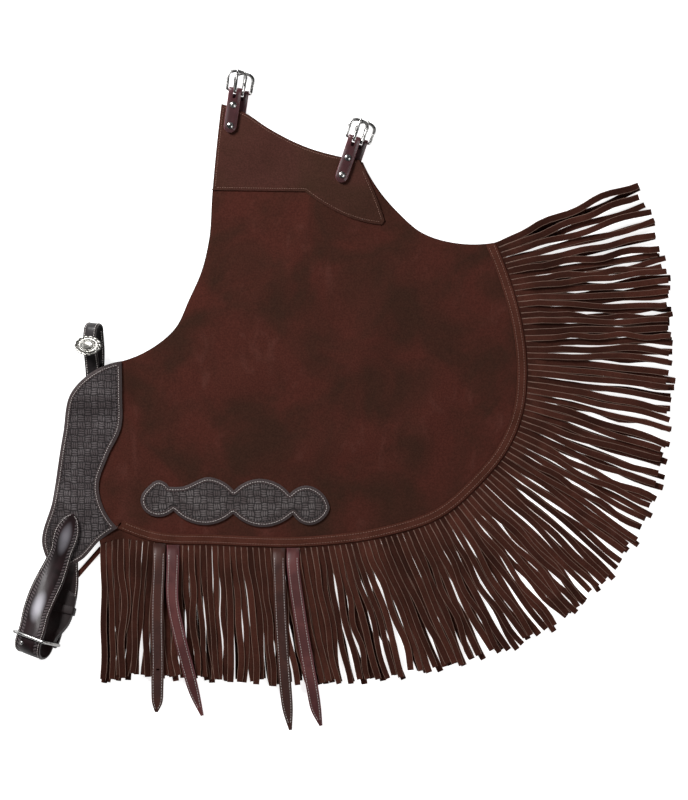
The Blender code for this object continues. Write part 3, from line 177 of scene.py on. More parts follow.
SWELLS = tuple(Swell(*row) for row in (
    (-70.0, 150.0, 95.0, 38.0, -35.0, 2.6), (40.0, 90.0, 110.0, 40.0, 62.0, 2.2),
    (-120.0, 30.0, 90.0, 34.0, 20.0, 1.8), (110.0, -20.0, 85.0, 36.0, 75.0, 2.0),
    (-10.0, -60.0, 100.0, 36.0, 8.0, 1.6),
))


@dataclass(frozen=True)
class Crease:
    """A soft crease of the suede, from one plan point to another."""

    start: tuple[float, float]
    end: tuple[float, float]
    half_width: float
    height: float


CREASES = tuple(Crease(*row) for row in (
    ((-46.0, 242.0), (-58.0, 196.0), 7.0, 1.3), ((-58.0, 196.0), (-72.0, 148.0), 8.0, 1.1),
    ((-92.0, 150.0), (-132.0, 104.0), 9.0, 0.9), ((-134.0, 214.0), (-126.0, 168.0), 8.0, 0.6),
    ((20.0, 150.0), (34.0, 96.0), 9.0, 0.7), ((96.0, 120.0), (126.0, 84.0), 10.0, 0.6),
    ((-24.0, 60.0), (-70.0, 44.0), 8.0, 0.6), ((-176.0, 60.0), (-206.0, 18.0), 9.0, 0.7),
    ((60.0, -36.0), (104.0, -52.0), 8.0, 0.5), ((-210.0, -40.0), (-252.0, -60.0), 8.0, 0.5),
))


def unit(vector: np.ndarray) -> np.ndarray:
    """A vector, or each row of a table of vectors, at length one."""
    return vector / np.maximum(np.linalg.norm(vector, axis=-1, keepdims=True), 1e-12)


def flat_unit(x: float, y: float) -> np.ndarray:
    """A level direction."""
    return unit(np.array((x, y, 0.0)))


def ease(share: np.ndarray | float) -> np.ndarray:
    """Smooth step from 0 to 1."""
    share = np.clip(share, 0.0, 1.0)
    return share * share * (3 - 2 * share)


def smooth_between(a: np.ndarray, b: np.ndarray, c: np.ndarray, d: np.ndarray, t: float) -> np.ndarray:
    """A spot on the smooth line through four points, at share t of the way from the second to the third."""
    square = (2 * a - 5 * b + 4 * c - d) * t * t
    return 0.5 * (2 * b + (c - a) * t + square + (3 * b - a - 3 * c + d) * t ** 3)


def smooth_curve(knots: Knots, step: float, closed: bool = False) -> Plan:
    """A smooth line through knots.

    Args:
        knots: The line's knots in order.
        step: Distance between the points that come back.
        closed: Whether the last knot joins the first.

    Returns:
        Plan points, with the line's corners kept.
    """
    places = [np.array(knot[:2], float) for knot in knots]
    count = len(places)
    tangents: list[np.ndarray | None] = []
    for index, knot in enumerate(knots):
        if knot[2] is Turn.SHARP or not (closed or 0 < index < count - 1):
            tangents.append(None)
            continue
        first = places[index] - places[index - 1]
        second = places[(index + 1) % count] - places[index]
        tangents.append(unit(unit(first) * np.linalg.norm(second) + unit(second) * np.linalg.norm(first)))
    points = []
    for index in range(count if closed else count - 1):
        start = places[index]
        end = places[(index + 1) % count]
        reach = float(np.linalg.norm(end - start))
        along = (end - start) / reach
        leave = tangents[index]
        arrive = tangents[(index + 1) % count]
        if leave is None:
            leave = along if arrive is None else 2 * along.dot(arrive) * along - arrive
        if arrive is None:
            arrive = 2 * along.dot(leave) * along - leave
        pieces = max(1, round(reach / step))
        for piece in range(pieces):
            t = piece / pieces
            points.append((2 * t ** 3 - 3 * t ** 2 + 1) * start + (t ** 3 - 2 * t ** 2 + t) * reach * leave
                          + (3 * t ** 2 - 2 * t ** 3) * end + (t ** 3 - t ** 2) * reach * arrive)
    if not closed:
        points.append(places[-1])
    return np.array(points)


def offset_line(points: Plan, distance: float, closed: bool = False) -> Plan:
    """A line moved to its left.

    Args:
        points: The line.
        distance: How far it moves; a negative one moves it right.
        closed: Whether the line is a loop.

    Returns:
        The moved line.
    """
    before = np.roll(points, 1, axis=0)
    after = np.roll(points, -1, axis=0)
    if not closed:
        before[0] = points[0]
        after[-1] = points[-1]
    along = unit(after - before)
    return points + distance * np.stack((-along[:, 1], along[:, 0]), axis=1)


def inside(outline: Plan, points: Plan) -> np.ndarray:
    """Whether each point lies inside a closed outline."""
    result = np.zeros(len(points), bool)
    for start, end in zip(np.roll(outline, 1, axis=0), outline):
        if start[1] == end[1]:
            continue
        between = (start[1] > points[:, 1]) != (end[1] > points[:, 1])
        crossing = start[0] + (points[:, 1] - start[1]) / (end[1] - start[1]) * (end[0] - start[0])
        result ^= between & (points[:, 0] < crossing)
    return result


def edge_distance(outline: Plan, points: Plan) -> tuple[np.ndarray, np.ndarray]:
    """How far points are from an outline.

    Args:
        outline: A closed outline.
        points: Plan points.

    Returns:
        The distance to the nearest edge, and how far along the outline that spot is.
    """
    best = np.full(len(points), np.inf)
    mark = np.zeros(len(points))
    gone = 0.0
    for start, end in zip(np.roll(outline, 1, axis=0), outline):
        edge = end - start
        length = float(np.linalg.norm(edge))
        share = np.clip((points - start) @ edge / max(length * length, 1e-9), 0.0, 1.0)
        away = np.linalg.norm(points - start - share[:, None] * edge, axis=1)
        closer = away < best
        best[closer] = away[closer]
        mark[closer] = gone + share[closer] * length
        gone += length
    return best, mark


def inset_lines(outline: Plan, distance: float) -> list[Plan]:
    """The stretches of a line that runs inside an outline.

    Args:
        outline: A closed outline.
        distance: How far inside the line runs.

    Returns:
        Open lines; each corner of the outline parts two of them.
    """
    moved = offset_line(outline, distance, closed=True)
    if not inside(outline, moved).mean() > 0.5:
        moved = offset_line(outline, -distance, closed=True)
    clear = inside(outline, moved) & (edge_distance(outline, moved)[0] > distance * 0.93)
    if clear.all():
        return [np.vstack((moved, moved[:1]))]
    first = int(np.argmin(clear))
    order = np.roll(np.arange(len(moved)), -first)
    lines = []
    run: list[np.ndarray] = []
    for index in order:
        if clear[index]:
            run.append(moved[index])
        elif len(run) > 1:
            lines.append(np.array(run))
            run = []
        else:
            run = []
    if len(run) > 1:
        lines.append(np.array(run))
    return lines


def spaced(points: Points, pitch: float) -> tuple[Points, Points]:
    """Evenly spaced spots on a line.

    Args:
        points: The line, in plan or in space.
        pitch: Distance between spots.

    Returns:
        The spots, and the unit tangent at each.
    """
    steps = np.linalg.norm(np.diff(points, axis=0), axis=1)
    marks = np.concatenate(((0.0,), np.cumsum(steps)))
    count = max(1, int(marks[-1] / pitch))
    wanted = (np.arange(count) + 0.5) * marks[-1] / count
    spots = np.stack([np.interp(wanted, marks, points[:, axis]) for axis in range(points.shape[1])], axis=1)
    places = np.clip(np.searchsorted(marks, wanted) - 1, 0, len(steps) - 1)
    return spots, unit(np.diff(points, axis=0)[places])


def capsule(start: tuple[float, float], end: tuple[float, float], radius: float) -> Plan:
    """Outline of the area about a straight line, with bevelled ends."""
    first = np.array(start)
    last = np.array(end)
    along = unit(last - first)
    across = np.array((-along[1], along[0]))
    reach = along * radius * 0.4
    return np.array((first - reach - across * radius, last + reach - across * radius,
                     last + reach + across * radius, first - reach + across * radius))


def ring_faces(size: int, rings: int, start: int = 0, closed: bool = False) -> list[tuple[int, ...]]:
    """Faces of a skin through rings of corners.

    Args:
        size: Corners to a ring.
        rings: How many rings there are.
        start: Number of the first corner.
        closed: Whether the last ring joins the first.

    Returns:
        The corner numbers of each face, ring after ring.
    """
    faces = []
    for ring in range(rings if closed else rings - 1):
        low = start + ring * size
        high = start + (ring + 1) % rings * size
        for side in range(size):
            follow = (side + 1) % size
            faces.append((low + side, low + follow, high + follow, high + side))
    return faces


def make_piece(name: str, points: Points, faces: Sequence[Sequence[int]], materials: Sequence[Material],
               slots: Sequence[int] | None = None, uv: np.ndarray | None = None,
               marks: dict[str, np.ndarray] | None = None, sharp: float = 42.0) -> Piece:
    """Makes a mesh piece of the object.

    Args:
        name: Name of the piece.
        points: Its corners in millimetres, not yet shifted into the part's frame.
        faces: Corner numbers of each face.
        materials: Its materials.
        slots: Material number of each face.
        uv: Two numbers for each corner, kept as the UV map "cut".
        marks: Named numbers for each corner, kept as attributes.
        sharp: Angle in degrees from which an edge stays sharp.

    Returns:
        The piece, in the scene.
    """
    mesh = bpy.data.meshes.new(name)
    mesh.from_pydata(((np.asarray(points) + PLAN_SHIFT) * MM).tolist(), [], [list(face) for face in faces])
    for material in materials:
        mesh.materials.append(material)
    if slots is not None:
        mesh.polygons.foreach_set("material_index", np.asarray(slots, np.int32))
    if uv is not None:
        corner_of = np.zeros(len(mesh.loops), np.int32)
        mesh.loops.foreach_get("vertex_index", corner_of)
        layer = mesh.uv_layers.new(name="cut")
        layer.data.foreach_set("uv", np.asarray(uv, np.float32)[corner_of].ravel())
    for label, values in (marks or {}).items():
        attribute = mesh.attributes.new(label, "FLOAT", "POINT")
        attribute.data.foreach_set("value", np.asarray(values, np.float32))
    mesh.shade_smooth()
    mesh.set_sharp_from_angle(angle=math.radians(sharp))
    mesh.update()
    piece = bpy.data.objects.new(name, mesh)
    bpy.context.scene.collection.objects.link(piece)
    return piece


def settle(piece: Piece, slot: str, *nodes: str, body: str = "chaps") -> Piece:
    """Says which body a piece rides on, and hides the solids that it stands for.

    Args:
        piece: The piece.
        slot: The record's material slot; not used.
        *nodes: Solids that it replaces.
        body: The body that it rides on.

    Returns:
        The piece.
    """
    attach(piece, body)
    if nodes:
        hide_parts(*nodes)
    LOG.info("%s: %d faces", piece.name, len(piece.data.polygons))
    return piece


def srgb(red: float, green: float, blue: float) -> tuple[float, float, float, float]:
    """A shader colour from screen values of 0 to 255."""
    def linear(value: float) -> float:
        """One channel."""
        share = value / 255.0
        return share / 12.92 if share <= 0.04045 else ((share + 0.055) / 1.055) ** 2.4
    return linear(red), linear(green), linear(blue), 1.0


class Bench:
    """Lays out and joins the nodes of one material."""

    def __init__(self, name: str) -> None:
        """Starts a material with its shader."""
        self.material = bpy.data.materials.new(name)
        self.material.use_nodes = True
        self.tree = self.material.node_tree
        self.shader = self.tree.nodes["Principled BSDF"]

    def join(self, source: object, target: bpy.types.NodeSocket) -> None:
        """Links a socket to another, or sets a plain value on it."""
        if isinstance(source, bpy.types.NodeSocket):
            self.tree.links.new(source, target)
        else:
            target.default_value = source

    def surface(self, **values: object) -> None:
        """Sets the shader's inputs, with underlines for the spaces in their names."""
        for label, value in values.items():
            self.join(value, self.shader.inputs[label.replace("_", " ")])

    def math(self, operation: str, *values: object) -> bpy.types.NodeSocket:
        """One sum of arithmetic.

        Args:
            operation: Name of the operation.
            *values: Sockets or numbers.

        Returns:
            The result's socket.
        """
        made = self.tree.nodes.new("ShaderNodeMath")
        made.operation = operation
        for value, socket in zip(values, made.inputs):
            self.join(value, socket)
        return made.outputs[0]

    def place(self) -> bpy.types.NodeSocket:
        """Place in the part's frame, in metres."""
        return self.tree.nodes.new("ShaderNodeTexCoord").outputs["Object"]

    def cut(self) -> tuple[bpy.types.NodeSocket, bpy.types.NodeSocket]:
        """The two numbers of the UV map."""
        source = self.tree.nodes.new("ShaderNodeUVMap")
        source.uv_map = "cut"
        parts = self.tree.nodes.new("ShaderNodeSeparateXYZ")
        self.join(source.outputs["UV"], parts.inputs[0])
        return parts.outputs["X"], parts.outputs["Y"]

    def mark(self, label: str) -> bpy.types.NodeSocket:
        """A number kept on the mesh."""
        made = self.tree.nodes.new("ShaderNodeAttribute")
        made.attribute_name = label
        return made.outputs["Fac"]

    def noise(self, scale: float, detail: float = 3.0, distortion: float = 0.0,
              stretch: tuple[float, float, float] = (1.0, 1.0, 1.0)) -> bpy.types.NodeSocket:
        """A cloudy pattern.

        Args:
            scale: Clouds to a metre.
            detail: How many finer layers it has.
            distortion: How far it is stirred.
            stretch: Scale along each axis.

        Returns:
            A value from 0 to 1.
        """
        mapping = self.tree.nodes.new("ShaderNodeMapping")
        mapping.inputs["Scale"].default_value = stretch
        self.join(self.place(), mapping.inputs["Vector"])
        made = self.tree.nodes.new("ShaderNodeTexNoise")
        made.inputs["Scale"].default_value = scale
        made.inputs["Detail"].default_value = detail
        made.inputs["Distortion"].default_value = distortion
        self.join(mapping.outputs["Vector"], made.inputs["Vector"])
        return made.outputs["Fac"]

    def span(self, value: object, low: float, high: float, start: float = 0.0,
             end: float = 1.0) -> bpy.types.NodeSocket:
        """Maps a range of a value, held at both ends.

        Args:
            value: The value.
            low: Where the range starts.
            high: Where it ends.
            start: What comes back at its start.
            end: What comes back at its end.

        Returns:
            The mapped value.
        """
        made = self.tree.nodes.new("ShaderNodeMapRange")
        made.interpolation_type = "SMOOTHSTEP"
        for socket, number in zip(("Value", "From Min", "From Max", "To Min", "To Max"),
                                  (value, low, high, start, end)):
            self.join(number, made.inputs[socket])
        return made.outputs["Result"]

    def blend(self, factor: object, first: object, second: object, mode: str = "MIX") -> bpy.types.NodeSocket:
        """Mixes two colours.

        Args:
            factor: Share of the second.
            first: A colour or socket.
            second: A colour or socket.
            mode: Name of the way that they mix.

        Returns:
            The colour.
        """
        made = self.tree.nodes.new("ShaderNodeMix")
        made.data_type = "RGBA"
        made.blend_type = mode
        self.join(factor, made.inputs[0])
        self.join(first, made.inputs[6])
        self.join(second, made.inputs[7])
        return made.outputs[2]

    def relief(self, *layers: tuple[bpy.types.NodeSocket, float, float]) -> None:
        """Stacks bump layers, each a height, its depth in millimetres and its strength."""
        normal = None
        for height, depth, strength in layers:
            made = self.tree.nodes.new("ShaderNodeBump")
            made.inputs["Distance"].default_value = depth * MM
            made.inputs["Strength"].default_value = strength
            self.join(height, made.inputs["Height"])
            if normal is not None:
                self.join(normal, made.inputs["Normal"])
            normal = made.outputs["Normal"]
        self.join(normal, self.shader.inputs["Normal"])


@dataclass(frozen=True)
class SuedeFinish:
    """Rough-out suede with a brushed, scuffed nap."""

    name: str
    dark: tuple[float, float, float]
    body: tuple[float, float, float]
    scuffed: tuple[float, float, float]
    clouds: float = 13.0
    toned: bool = False

    def make(self) -> Material:
        """The suede's material."""
        bench = Bench(self.name)
        large = bench.noise(self.clouds, 4.0, 0.6)
        streaks = bench.noise(34.0, 3.0, 1.4, (1.0, 0.55, 1.0))
        nap = bench.noise(520.0, 3.0)
        colour = bench.blend(bench.span(large, 0.30, 0.66), srgb(*self.dark), srgb(*self.body))
        scuffs = bench.math("MULTIPLY", bench.span(streaks, 0.52, 0.74), bench.span(large, 0.42, 0.66))
        colour = bench.blend(bench.math("MULTIPLY", scuffs, 0.5), colour, srgb(*self.scuffed))
        shade = bench.span(nap, 0.25, 0.75, 0.80, 1.16)
        if self.toned:
            shade = bench.math("MULTIPLY", shade, bench.mark("tone"))
        grey = bench.tree.nodes.new("ShaderNodeCombineColor")
        for socket in grey.inputs:
            bench.join(shade, socket)
        colour = bench.blend(1.0, colour, grey.outputs[0], "MULTIPLY")
        bench.surface(Base_Color=colour, Roughness=0.95, Sheen_Weight=0.04, Sheen_Roughness=0.5,
                      Specular_IOR_Level=0.05)
        bench.relief((streaks, 1.2, 0.5), (bench.noise(150.0, 2.0), 0.5, 0.35), (nap, 0.25, 0.6))
        return bench.material


@dataclass(frozen=True)
class EdgeFinish:
    """The raw cut edge of a hide, fibrous and a little lighter than its face."""

    name: str
    colour: tuple[float, float, float]
    roughness: float = 0.8

    def make(self) -> Material:
        """The cut edge's material."""
        bench = Bench(self.name)
        fibre = bench.noise(700.0, 2.0, 0.0, (1.0, 1.0, 3.0))
        pale = tuple(min(255.0, value * 1.18) for value in self.colour)
        dull = tuple(value * 0.8 for value in self.colour)
        bench.surface(Base_Color=bench.blend(fibre, srgb(*dull), srgb(*pale)), Roughness=self.roughness)
        bench.relief((fibre, 0.15, 0.5))
        return bench.material


@dataclass(frozen=True)
class StampedFinish:
    """Dyed leather with a basketweave stamp inside a plain border and a row of border stamps."""

    name: str
    groove: tuple[float, float, float]
    body: tuple[float, float, float]
    wear_and_highlight: tuple[float, float, float]
    margin: tuple[float, float, float]
    border: float = 0.58
    stamp_pitch: float = 0.46

    def weave(self, bench: Bench) -> bpy.types.NodeSocket:
        """Height of the basketweave, from 0 in its grooves to 1 on its ribs."""
        across, along = (bench.math("ADD", value, bench.math("MULTIPLY", bench.noise(scale, 2.0), 0.5))
                         for value, scale in zip(bench.cut(), (70.0, 82.0)))
        cell = bench.math("ADD", bench.math("FLOOR", across), bench.math("FLOOR", along))
        odd = bench.math("MODULO", bench.math("ABSOLUTE", cell), 2.0)
        even = bench.math("SUBTRACT", 1.0, odd)
        near = bench.math("FRACT", across)
        far = bench.math("FRACT", along)
        rib = bench.math("ADD", bench.math("MULTIPLY", far, even), bench.math("MULTIPLY", near, odd))
        run = bench.math("ADD", bench.math("MULTIPLY", near, even), bench.math("MULTIPLY", far, odd))
        ribs = bench.math("ABSOLUTE", bench.math("SINE", bench.math("MULTIPLY", rib, 3 * math.pi)))
        pillow = bench.math("SINE", bench.math("MULTIPLY", run, math.pi))
        ribs = bench.math("POWER", ribs, 0.5)
        return bench.math("MULTIPLY", ribs, bench.math("POWER", bench.math("ABSOLUTE", pillow), 0.45))

    def make(self) -> Material:
        """The stamped leather's material."""
        bench = Bench(self.name)
        rim = bench.mark("rim")
        field_share = bench.span(rim, self.border, self.border + 0.06)
        plain = bench.math("SUBTRACT", 1.0, field_share)
        stamp = bench.math("FRACT", bench.math("DIVIDE", bench.mark("round"), self.stamp_pitch))
        dent = bench.math("MULTIPLY", bench.span(stamp, 0.30, 0.42), bench.span(stamp, 0.80, 0.68))
        band = bench.math("MULTIPLY", bench.span(rim, self.border - 0.02, self.border + 0.05),
                          bench.span(rim, self.border + 0.26, self.border + 0.16))
        dents = bench.math("MULTIPLY", dent, band)
        height = bench.math("ADD", bench.math("MULTIPLY", self.weave(bench), field_share), plain)
        height = bench.math("MULTIPLY", height, bench.math("SUBTRACT", 1.0, dents))
        wear = bench.noise(46.0, 4.0, 0.8)
        grain = bench.noise(900.0, 2.0)
        top = bench.blend(bench.span(wear, 0.40, 0.66), srgb(*self.body), srgb(*self.wear_and_highlight))
        top = bench.blend(plain, top, srgb(*self.margin))
        colour = bench.blend(bench.span(height, 0.25, 0.9), srgb(*self.groove), top)
        colour = bench.blend(bench.span(grain, 0.35, 0.75, 0.0, 0.35), colour, srgb(*self.groove))
        bench.surface(Base_Color=colour, Roughness=bench.span(wear, 0.3, 0.7, 0.62, 0.5),
                      Specular_IOR_Level=0.25)
        bench.relief((height, 0.7, 0.9), (grain, 0.12, 0.4))
        return bench.material


ROPE_PITCH = 0.42
ROPE_SLANT = 2.2
# Painted highlights on the belt, pale soft spots that stand in for its gloss: middle and reach along it in
# centimetres, and how pale.
PAINTED_HIGHLIGHT_SPOTS = ((3.3, 2.5, 0.85), (12.8, 2.5, 1.55))
PAINTED_HIGHLIGHT_HALF_WIDTH = 0.56


@dataclass(frozen=True)
class StrapFinish:
    """Smooth strap leather; a belt also has a stamped border, a high gloss and painted highlight spots."""

    name: str
    dark: tuple[float, float, float]
    body: tuple[float, float, float]
    roughness: float
    coat: float = 0.0
    stamped: bool = False

    def make(self) -> Material:
        """The strap's material."""
        bench = Bench(self.name)
        clouds = bench.noise(30.0, 4.0, 0.7)
        grain = bench.noise(1100.0, 3.0)
        colour = bench.blend(bench.span(clouds, 0.36, 0.64), srgb(*self.dark), srgb(*self.body))
        layers = [(bench.noise(90.0, 3.0), 0.5, 0.25), (grain, 0.1, 0.35)]
        if self.stamped:
            along, across = bench.cut()
            side = bench.math("ABSOLUTE", across)
            band = bench.math("MULTIPLY", bench.span(side, 0.52, 0.58), bench.span(side, 0.80, 0.75))
            slant = bench.math("ADD", bench.math("DIVIDE", along, ROPE_PITCH),
                               bench.math("MULTIPLY", side, ROPE_SLANT))
            turn = bench.math("SINE", bench.math("MULTIPLY", slant, math.pi))
            rope = bench.span(bench.math("ABSOLUTE", turn), 0.35, 0.8)
            dents = bench.math("MULTIPLY", band, bench.math("SUBTRACT", 1.0, rope))
            colour = bench.blend(bench.math("MULTIPLY", dents, 0.9), colour, srgb(9, 7, 7))
            colour = bench.blend(bench.math("MULTIPLY", bench.math("MULTIPLY", band, rope), 0.35), colour,
                                 srgb(128, 116, 118))
            layers.insert(0, (bench.math("SUBTRACT", 1.0, dents), 0.6, 0.9))
            # Painted highlight: soft pale bluish spots blended over the belt's colour, standing in for its
            # gloss.
            for middle, reach, pale in PAINTED_HIGHLIGHT_SPOTS:
                away = bench.math("DIVIDE", bench.math("SUBTRACT", along, middle), reach)
                away = bench.math("ADD", bench.math("POWER", bench.math("ABSOLUTE", away), 2.0),
                                  bench.math("POWER", bench.math("DIVIDE", side, PAINTED_HIGHLIGHT_HALF_WIDTH), 2.0))
                wear_and_highlight = bench.span(clouds, 0.25, 0.6, 0.7 * pale, pale)
                painted_highlight = bench.math("MULTIPLY", bench.span(away, 1.0, -0.7), wear_and_highlight)
                colour = bench.blend(painted_highlight, colour, srgb(160, 157, 165))
        bench.surface(Base_Color=colour, Roughness=bench.span(clouds, 0.3, 0.7, self.roughness * 1.15,
                                                              self.roughness * 0.85),
                      Coat_Weight=self.coat, Coat_Roughness=0.2,
                      Specular_IOR_Level=0.12 if self.stamped else 0.3)
        bench.relief(*layers)
        return bench.material


@dataclass(frozen=True)
class MetalFinish:
    """Plated metal with fine handling marks and painted shade on its edges that turn from the view; its mark
    "tone" darkens engraved grounds.
    """

    name: str
    bright: tuple[float, float, float]
    dull: tuple[float, float, float]
    # Painted shade colour for the edges that turn from the view.
    rim: tuple[float, float, float]
    roughness: float = 0.2
    engraved: bool = False

    def make(self) -> Material:
        """The metal's material."""
        bench = Bench(self.name)
        haze = bench.noise(160.0, 3.0)
        scratch = bench.noise(900.0, 2.0, 0.0, (1.0, 0.08, 1.0))
        colour = bench.blend(bench.span(haze, 0.3, 0.7), srgb(*self.dull), srgb(*self.bright))
        # Painted shade: the colour darkens to the rim colour where the surface turns away from the view,
        # standing in for the metal's dark edges.
        facing = bench.tree.nodes.new("ShaderNodeLayerWeight").outputs["Facing"]
        colour = bench.blend(bench.span(facing, 0.15, 0.75, 0.0, 0.85), colour, srgb(*self.rim))
        if self.engraved:
            ground = bench.math("SUBTRACT", 1.0, bench.mark("tone"))
            colour = bench.blend(bench.math("MULTIPLY", ground, 0.9), colour, srgb(38, 36, 34))
        bench.surface(Base_Color=colour, Metallic=1.0,
                      Roughness=bench.span(haze, 0.3, 0.7, self.roughness * 0.8, self.roughness * 1.4))
        bench.relief((scratch, 0.05, 0.25), (haze, 0.3, 0.2))
        return bench.material


@dataclass(frozen=True)
class ThreadFinish:
    """Waxed sewing thread, twisted."""

    name: str
    colour: tuple[float, float, float]

    def make(self) -> Material:
        """The thread's material."""
        bench = Bench(self.name)
        fuzz = bench.noise(1500.0, 2.0)
        shade = tuple(value * 0.72 for value in self.colour)
        bench.surface(Base_Color=bench.blend(fuzz, srgb(*shade), srgb(*self.colour)), Roughness=0.7)
        bench.relief((fuzz, 0.1, 0.5))
        return bench.material


class Finishes:
    """Every material of the pair, made once."""

    def __init__(self) -> None:
        """Makes them."""
        self.suede = SuedeFinish("suede", (55, 34, 26), (73, 37, 30), (86, 51, 44)).make()
        self.fringe = SuedeFinish("fringe suede", (54, 29, 22), (70, 38, 30), (86, 51, 42), 16.0, True).make()
        self.facing = SuedeFinish("facing suede", (60, 39, 30), (73, 43, 37), (85, 53, 46), 9.0).make()
        self.band = SuedeFinish("hem band suede", (72, 40, 31), (82, 46, 37), (96, 60, 50), 22.0).make()
        self.suede_edge = EdgeFinish("cut suede edge", (58, 40, 33)).make()
        self.strand_edge = EdgeFinish("cut strand edge", (112, 86, 74)).make()
        self.stamped = StampedFinish("basketweave leather", (34, 29, 30), (73, 65, 66), (96, 89, 90),
                                     (66, 55, 55)).make()
        self.patch = StampedFinish("patch leather", (36, 31, 31), (80, 71, 71), (105, 98, 98),
                                   (66, 55, 55)).make()
        self.stamped_edge = EdgeFinish("stamped leather edge", (50, 42, 41), 0.6).make()
        self.belt = StrapFinish("belt leather", (22, 14, 15), (38, 25, 27), 0.44, 0.06, True).make()
        self.belt_plain = StrapFinish("front strap leather", (28, 24, 25), (48, 44, 45), 0.45, 0.08).make()
        self.belt_lining = StrapFinish("belt lining", (26, 16, 16), (40, 24, 24), 0.6).make()
        self.belt_edge = EdgeFinish("burnished belt edge", (40, 30, 29), 0.4).make()
        self.strap = StrapFinish("leg strap leather", (56, 30, 25), (72, 41, 34), 0.56, 0.02).make()
        self.strap_pink = StrapFinish("reddish strap leather", (76, 40, 40), (96, 55, 54), 0.52, 0.04).make()
        self.strap_edge = EdgeFinish("strap edge", (70, 44, 36), 0.5).make()
        self.chape = StrapFinish("chape leather", (64, 36, 38), (84, 51, 55), 0.36, 0.3).make()
        self.chape_edge = EdgeFinish("chape edge", (120, 68, 74), 0.55).make()
        # The third colour of each metal is the painted shade of its edges that turn from the view.
        self.nickel = MetalFinish("nickel", (216, 215, 213), (176, 175, 173), (96, 94, 92), 0.24).make()
        self.silver = MetalFinish("silver", (236, 234, 228), (190, 187, 180), (70, 68, 66), 0.34, True).make()
        self.pale_thread = ThreadFinish("pale thread", (222, 212, 208)).make()
        self.brown_thread = ThreadFinish("brown thread", (152, 112, 97)).make()


@dataclass(frozen=True)
class Thread:
    """A run of lock stitches; lengths in millimetres."""

    finish: Material
    pitch: float = 3.6
    length: float = 2.7
    width: float = 0.85
    rise: float = 0.42

    def sew(self, name: str, seams: Sequence[tuple[Points, Points]]) -> Piece:
        """Lays stitches along seams.

        Args:
            name: Name of the piece.
            seams: For each seam, points on the leather and the leather's normal at each.

        Returns:
            One piece with every stitch.
        """
        sides = 6
        rings = ((-0.5, 0.30), (-0.34, 0.86), (0.0, 1.0), (0.34, 0.86), (0.5, 0.30))
        template = np.array([(along, size * math.cos(2 * math.pi * side / sides),
                              size * math.sin(2 * math.pi * side / sides))
                             for along, size in rings for side in range(sides)])
        template_faces = [tuple(range(sides))[::-1],
                          tuple(range((len(rings) - 1) * sides, len(rings) * sides))]
        template_faces += ring_faces(sides, len(rings))
        blocks = []
        for line, normals in seams:
            spots, tangents = spaced(line, self.pitch)
            nearest = ((spots[:, None] - line[None]) ** 2).sum(axis=2).argmin(axis=1)
            ups = unit(normals[nearest])
            acrosses = unit(np.cross(ups, tangents))
            for spot, tangent, up, across in zip(spots, tangents, ups, acrosses):
                blocks.append(spot + up * self.rise * 0.3 + template[:, :1] * self.length * tangent
                              + template[:, 1:2] * self.width / 2 * across + template[:, 2:] * self.rise * up)
        count = len(template)
        faces = [tuple(index * count + corner for corner in face)
                 for index in range(len(blocks)) for face in template_faces]
        return make_piece(name, np.vstack(blocks), faces, [self.finish], sharp=80.0)


BAND_WIDTH = 12.0
BAND_END_GAP = 1.0
STRIP_INSET = 7.2
PANEL_INSET = 7.5
STRIP_OUTSET = 8.0
STRIP_UNDER_YOKE_START = -252.0
STRIP_TUCK = ((0.0, 0.0), (-1.0, -1.4), (-2.4, 5.6), (-3.5, 8.4), (-6.4, 6.4))
ON_PANEL = SUEDE + SEAM_GAP
LEFT_LEG_SHIFT = np.array((3.0, -2.0))
LEFT_BUCKLE_SHIFT = np.array((9.0, -3.0))


@dataclass(frozen=True)
class Buckle:
    """Where a leg buckle's bar lies, how its strap leans and how long the strap is."""

    number: int
    bar: tuple[float, float]
    tilt: float
    length: float
    rivets: tuple[float, float]

    @property
    def ahead(self) -> np.ndarray:
        """Plan direction from the strap to the buckle's far side."""
        lean = math.radians(self.tilt)
        return np.array((math.sin(lean), math.cos(lean)))


LEG_BUCKLES = (Buckle(1, (-137.9, 392.3), 8.0, 53.8, (-45.0, -18.5)),
               Buckle(2, (13.2, 331.1), 18.8, 58.0, (-48.5, -25.5)))


@dataclass(frozen=True)
class Lift:
    """Something that the upper leg lies over."""

    outline: Plan
    height: float
    margin: float
    ramp: float


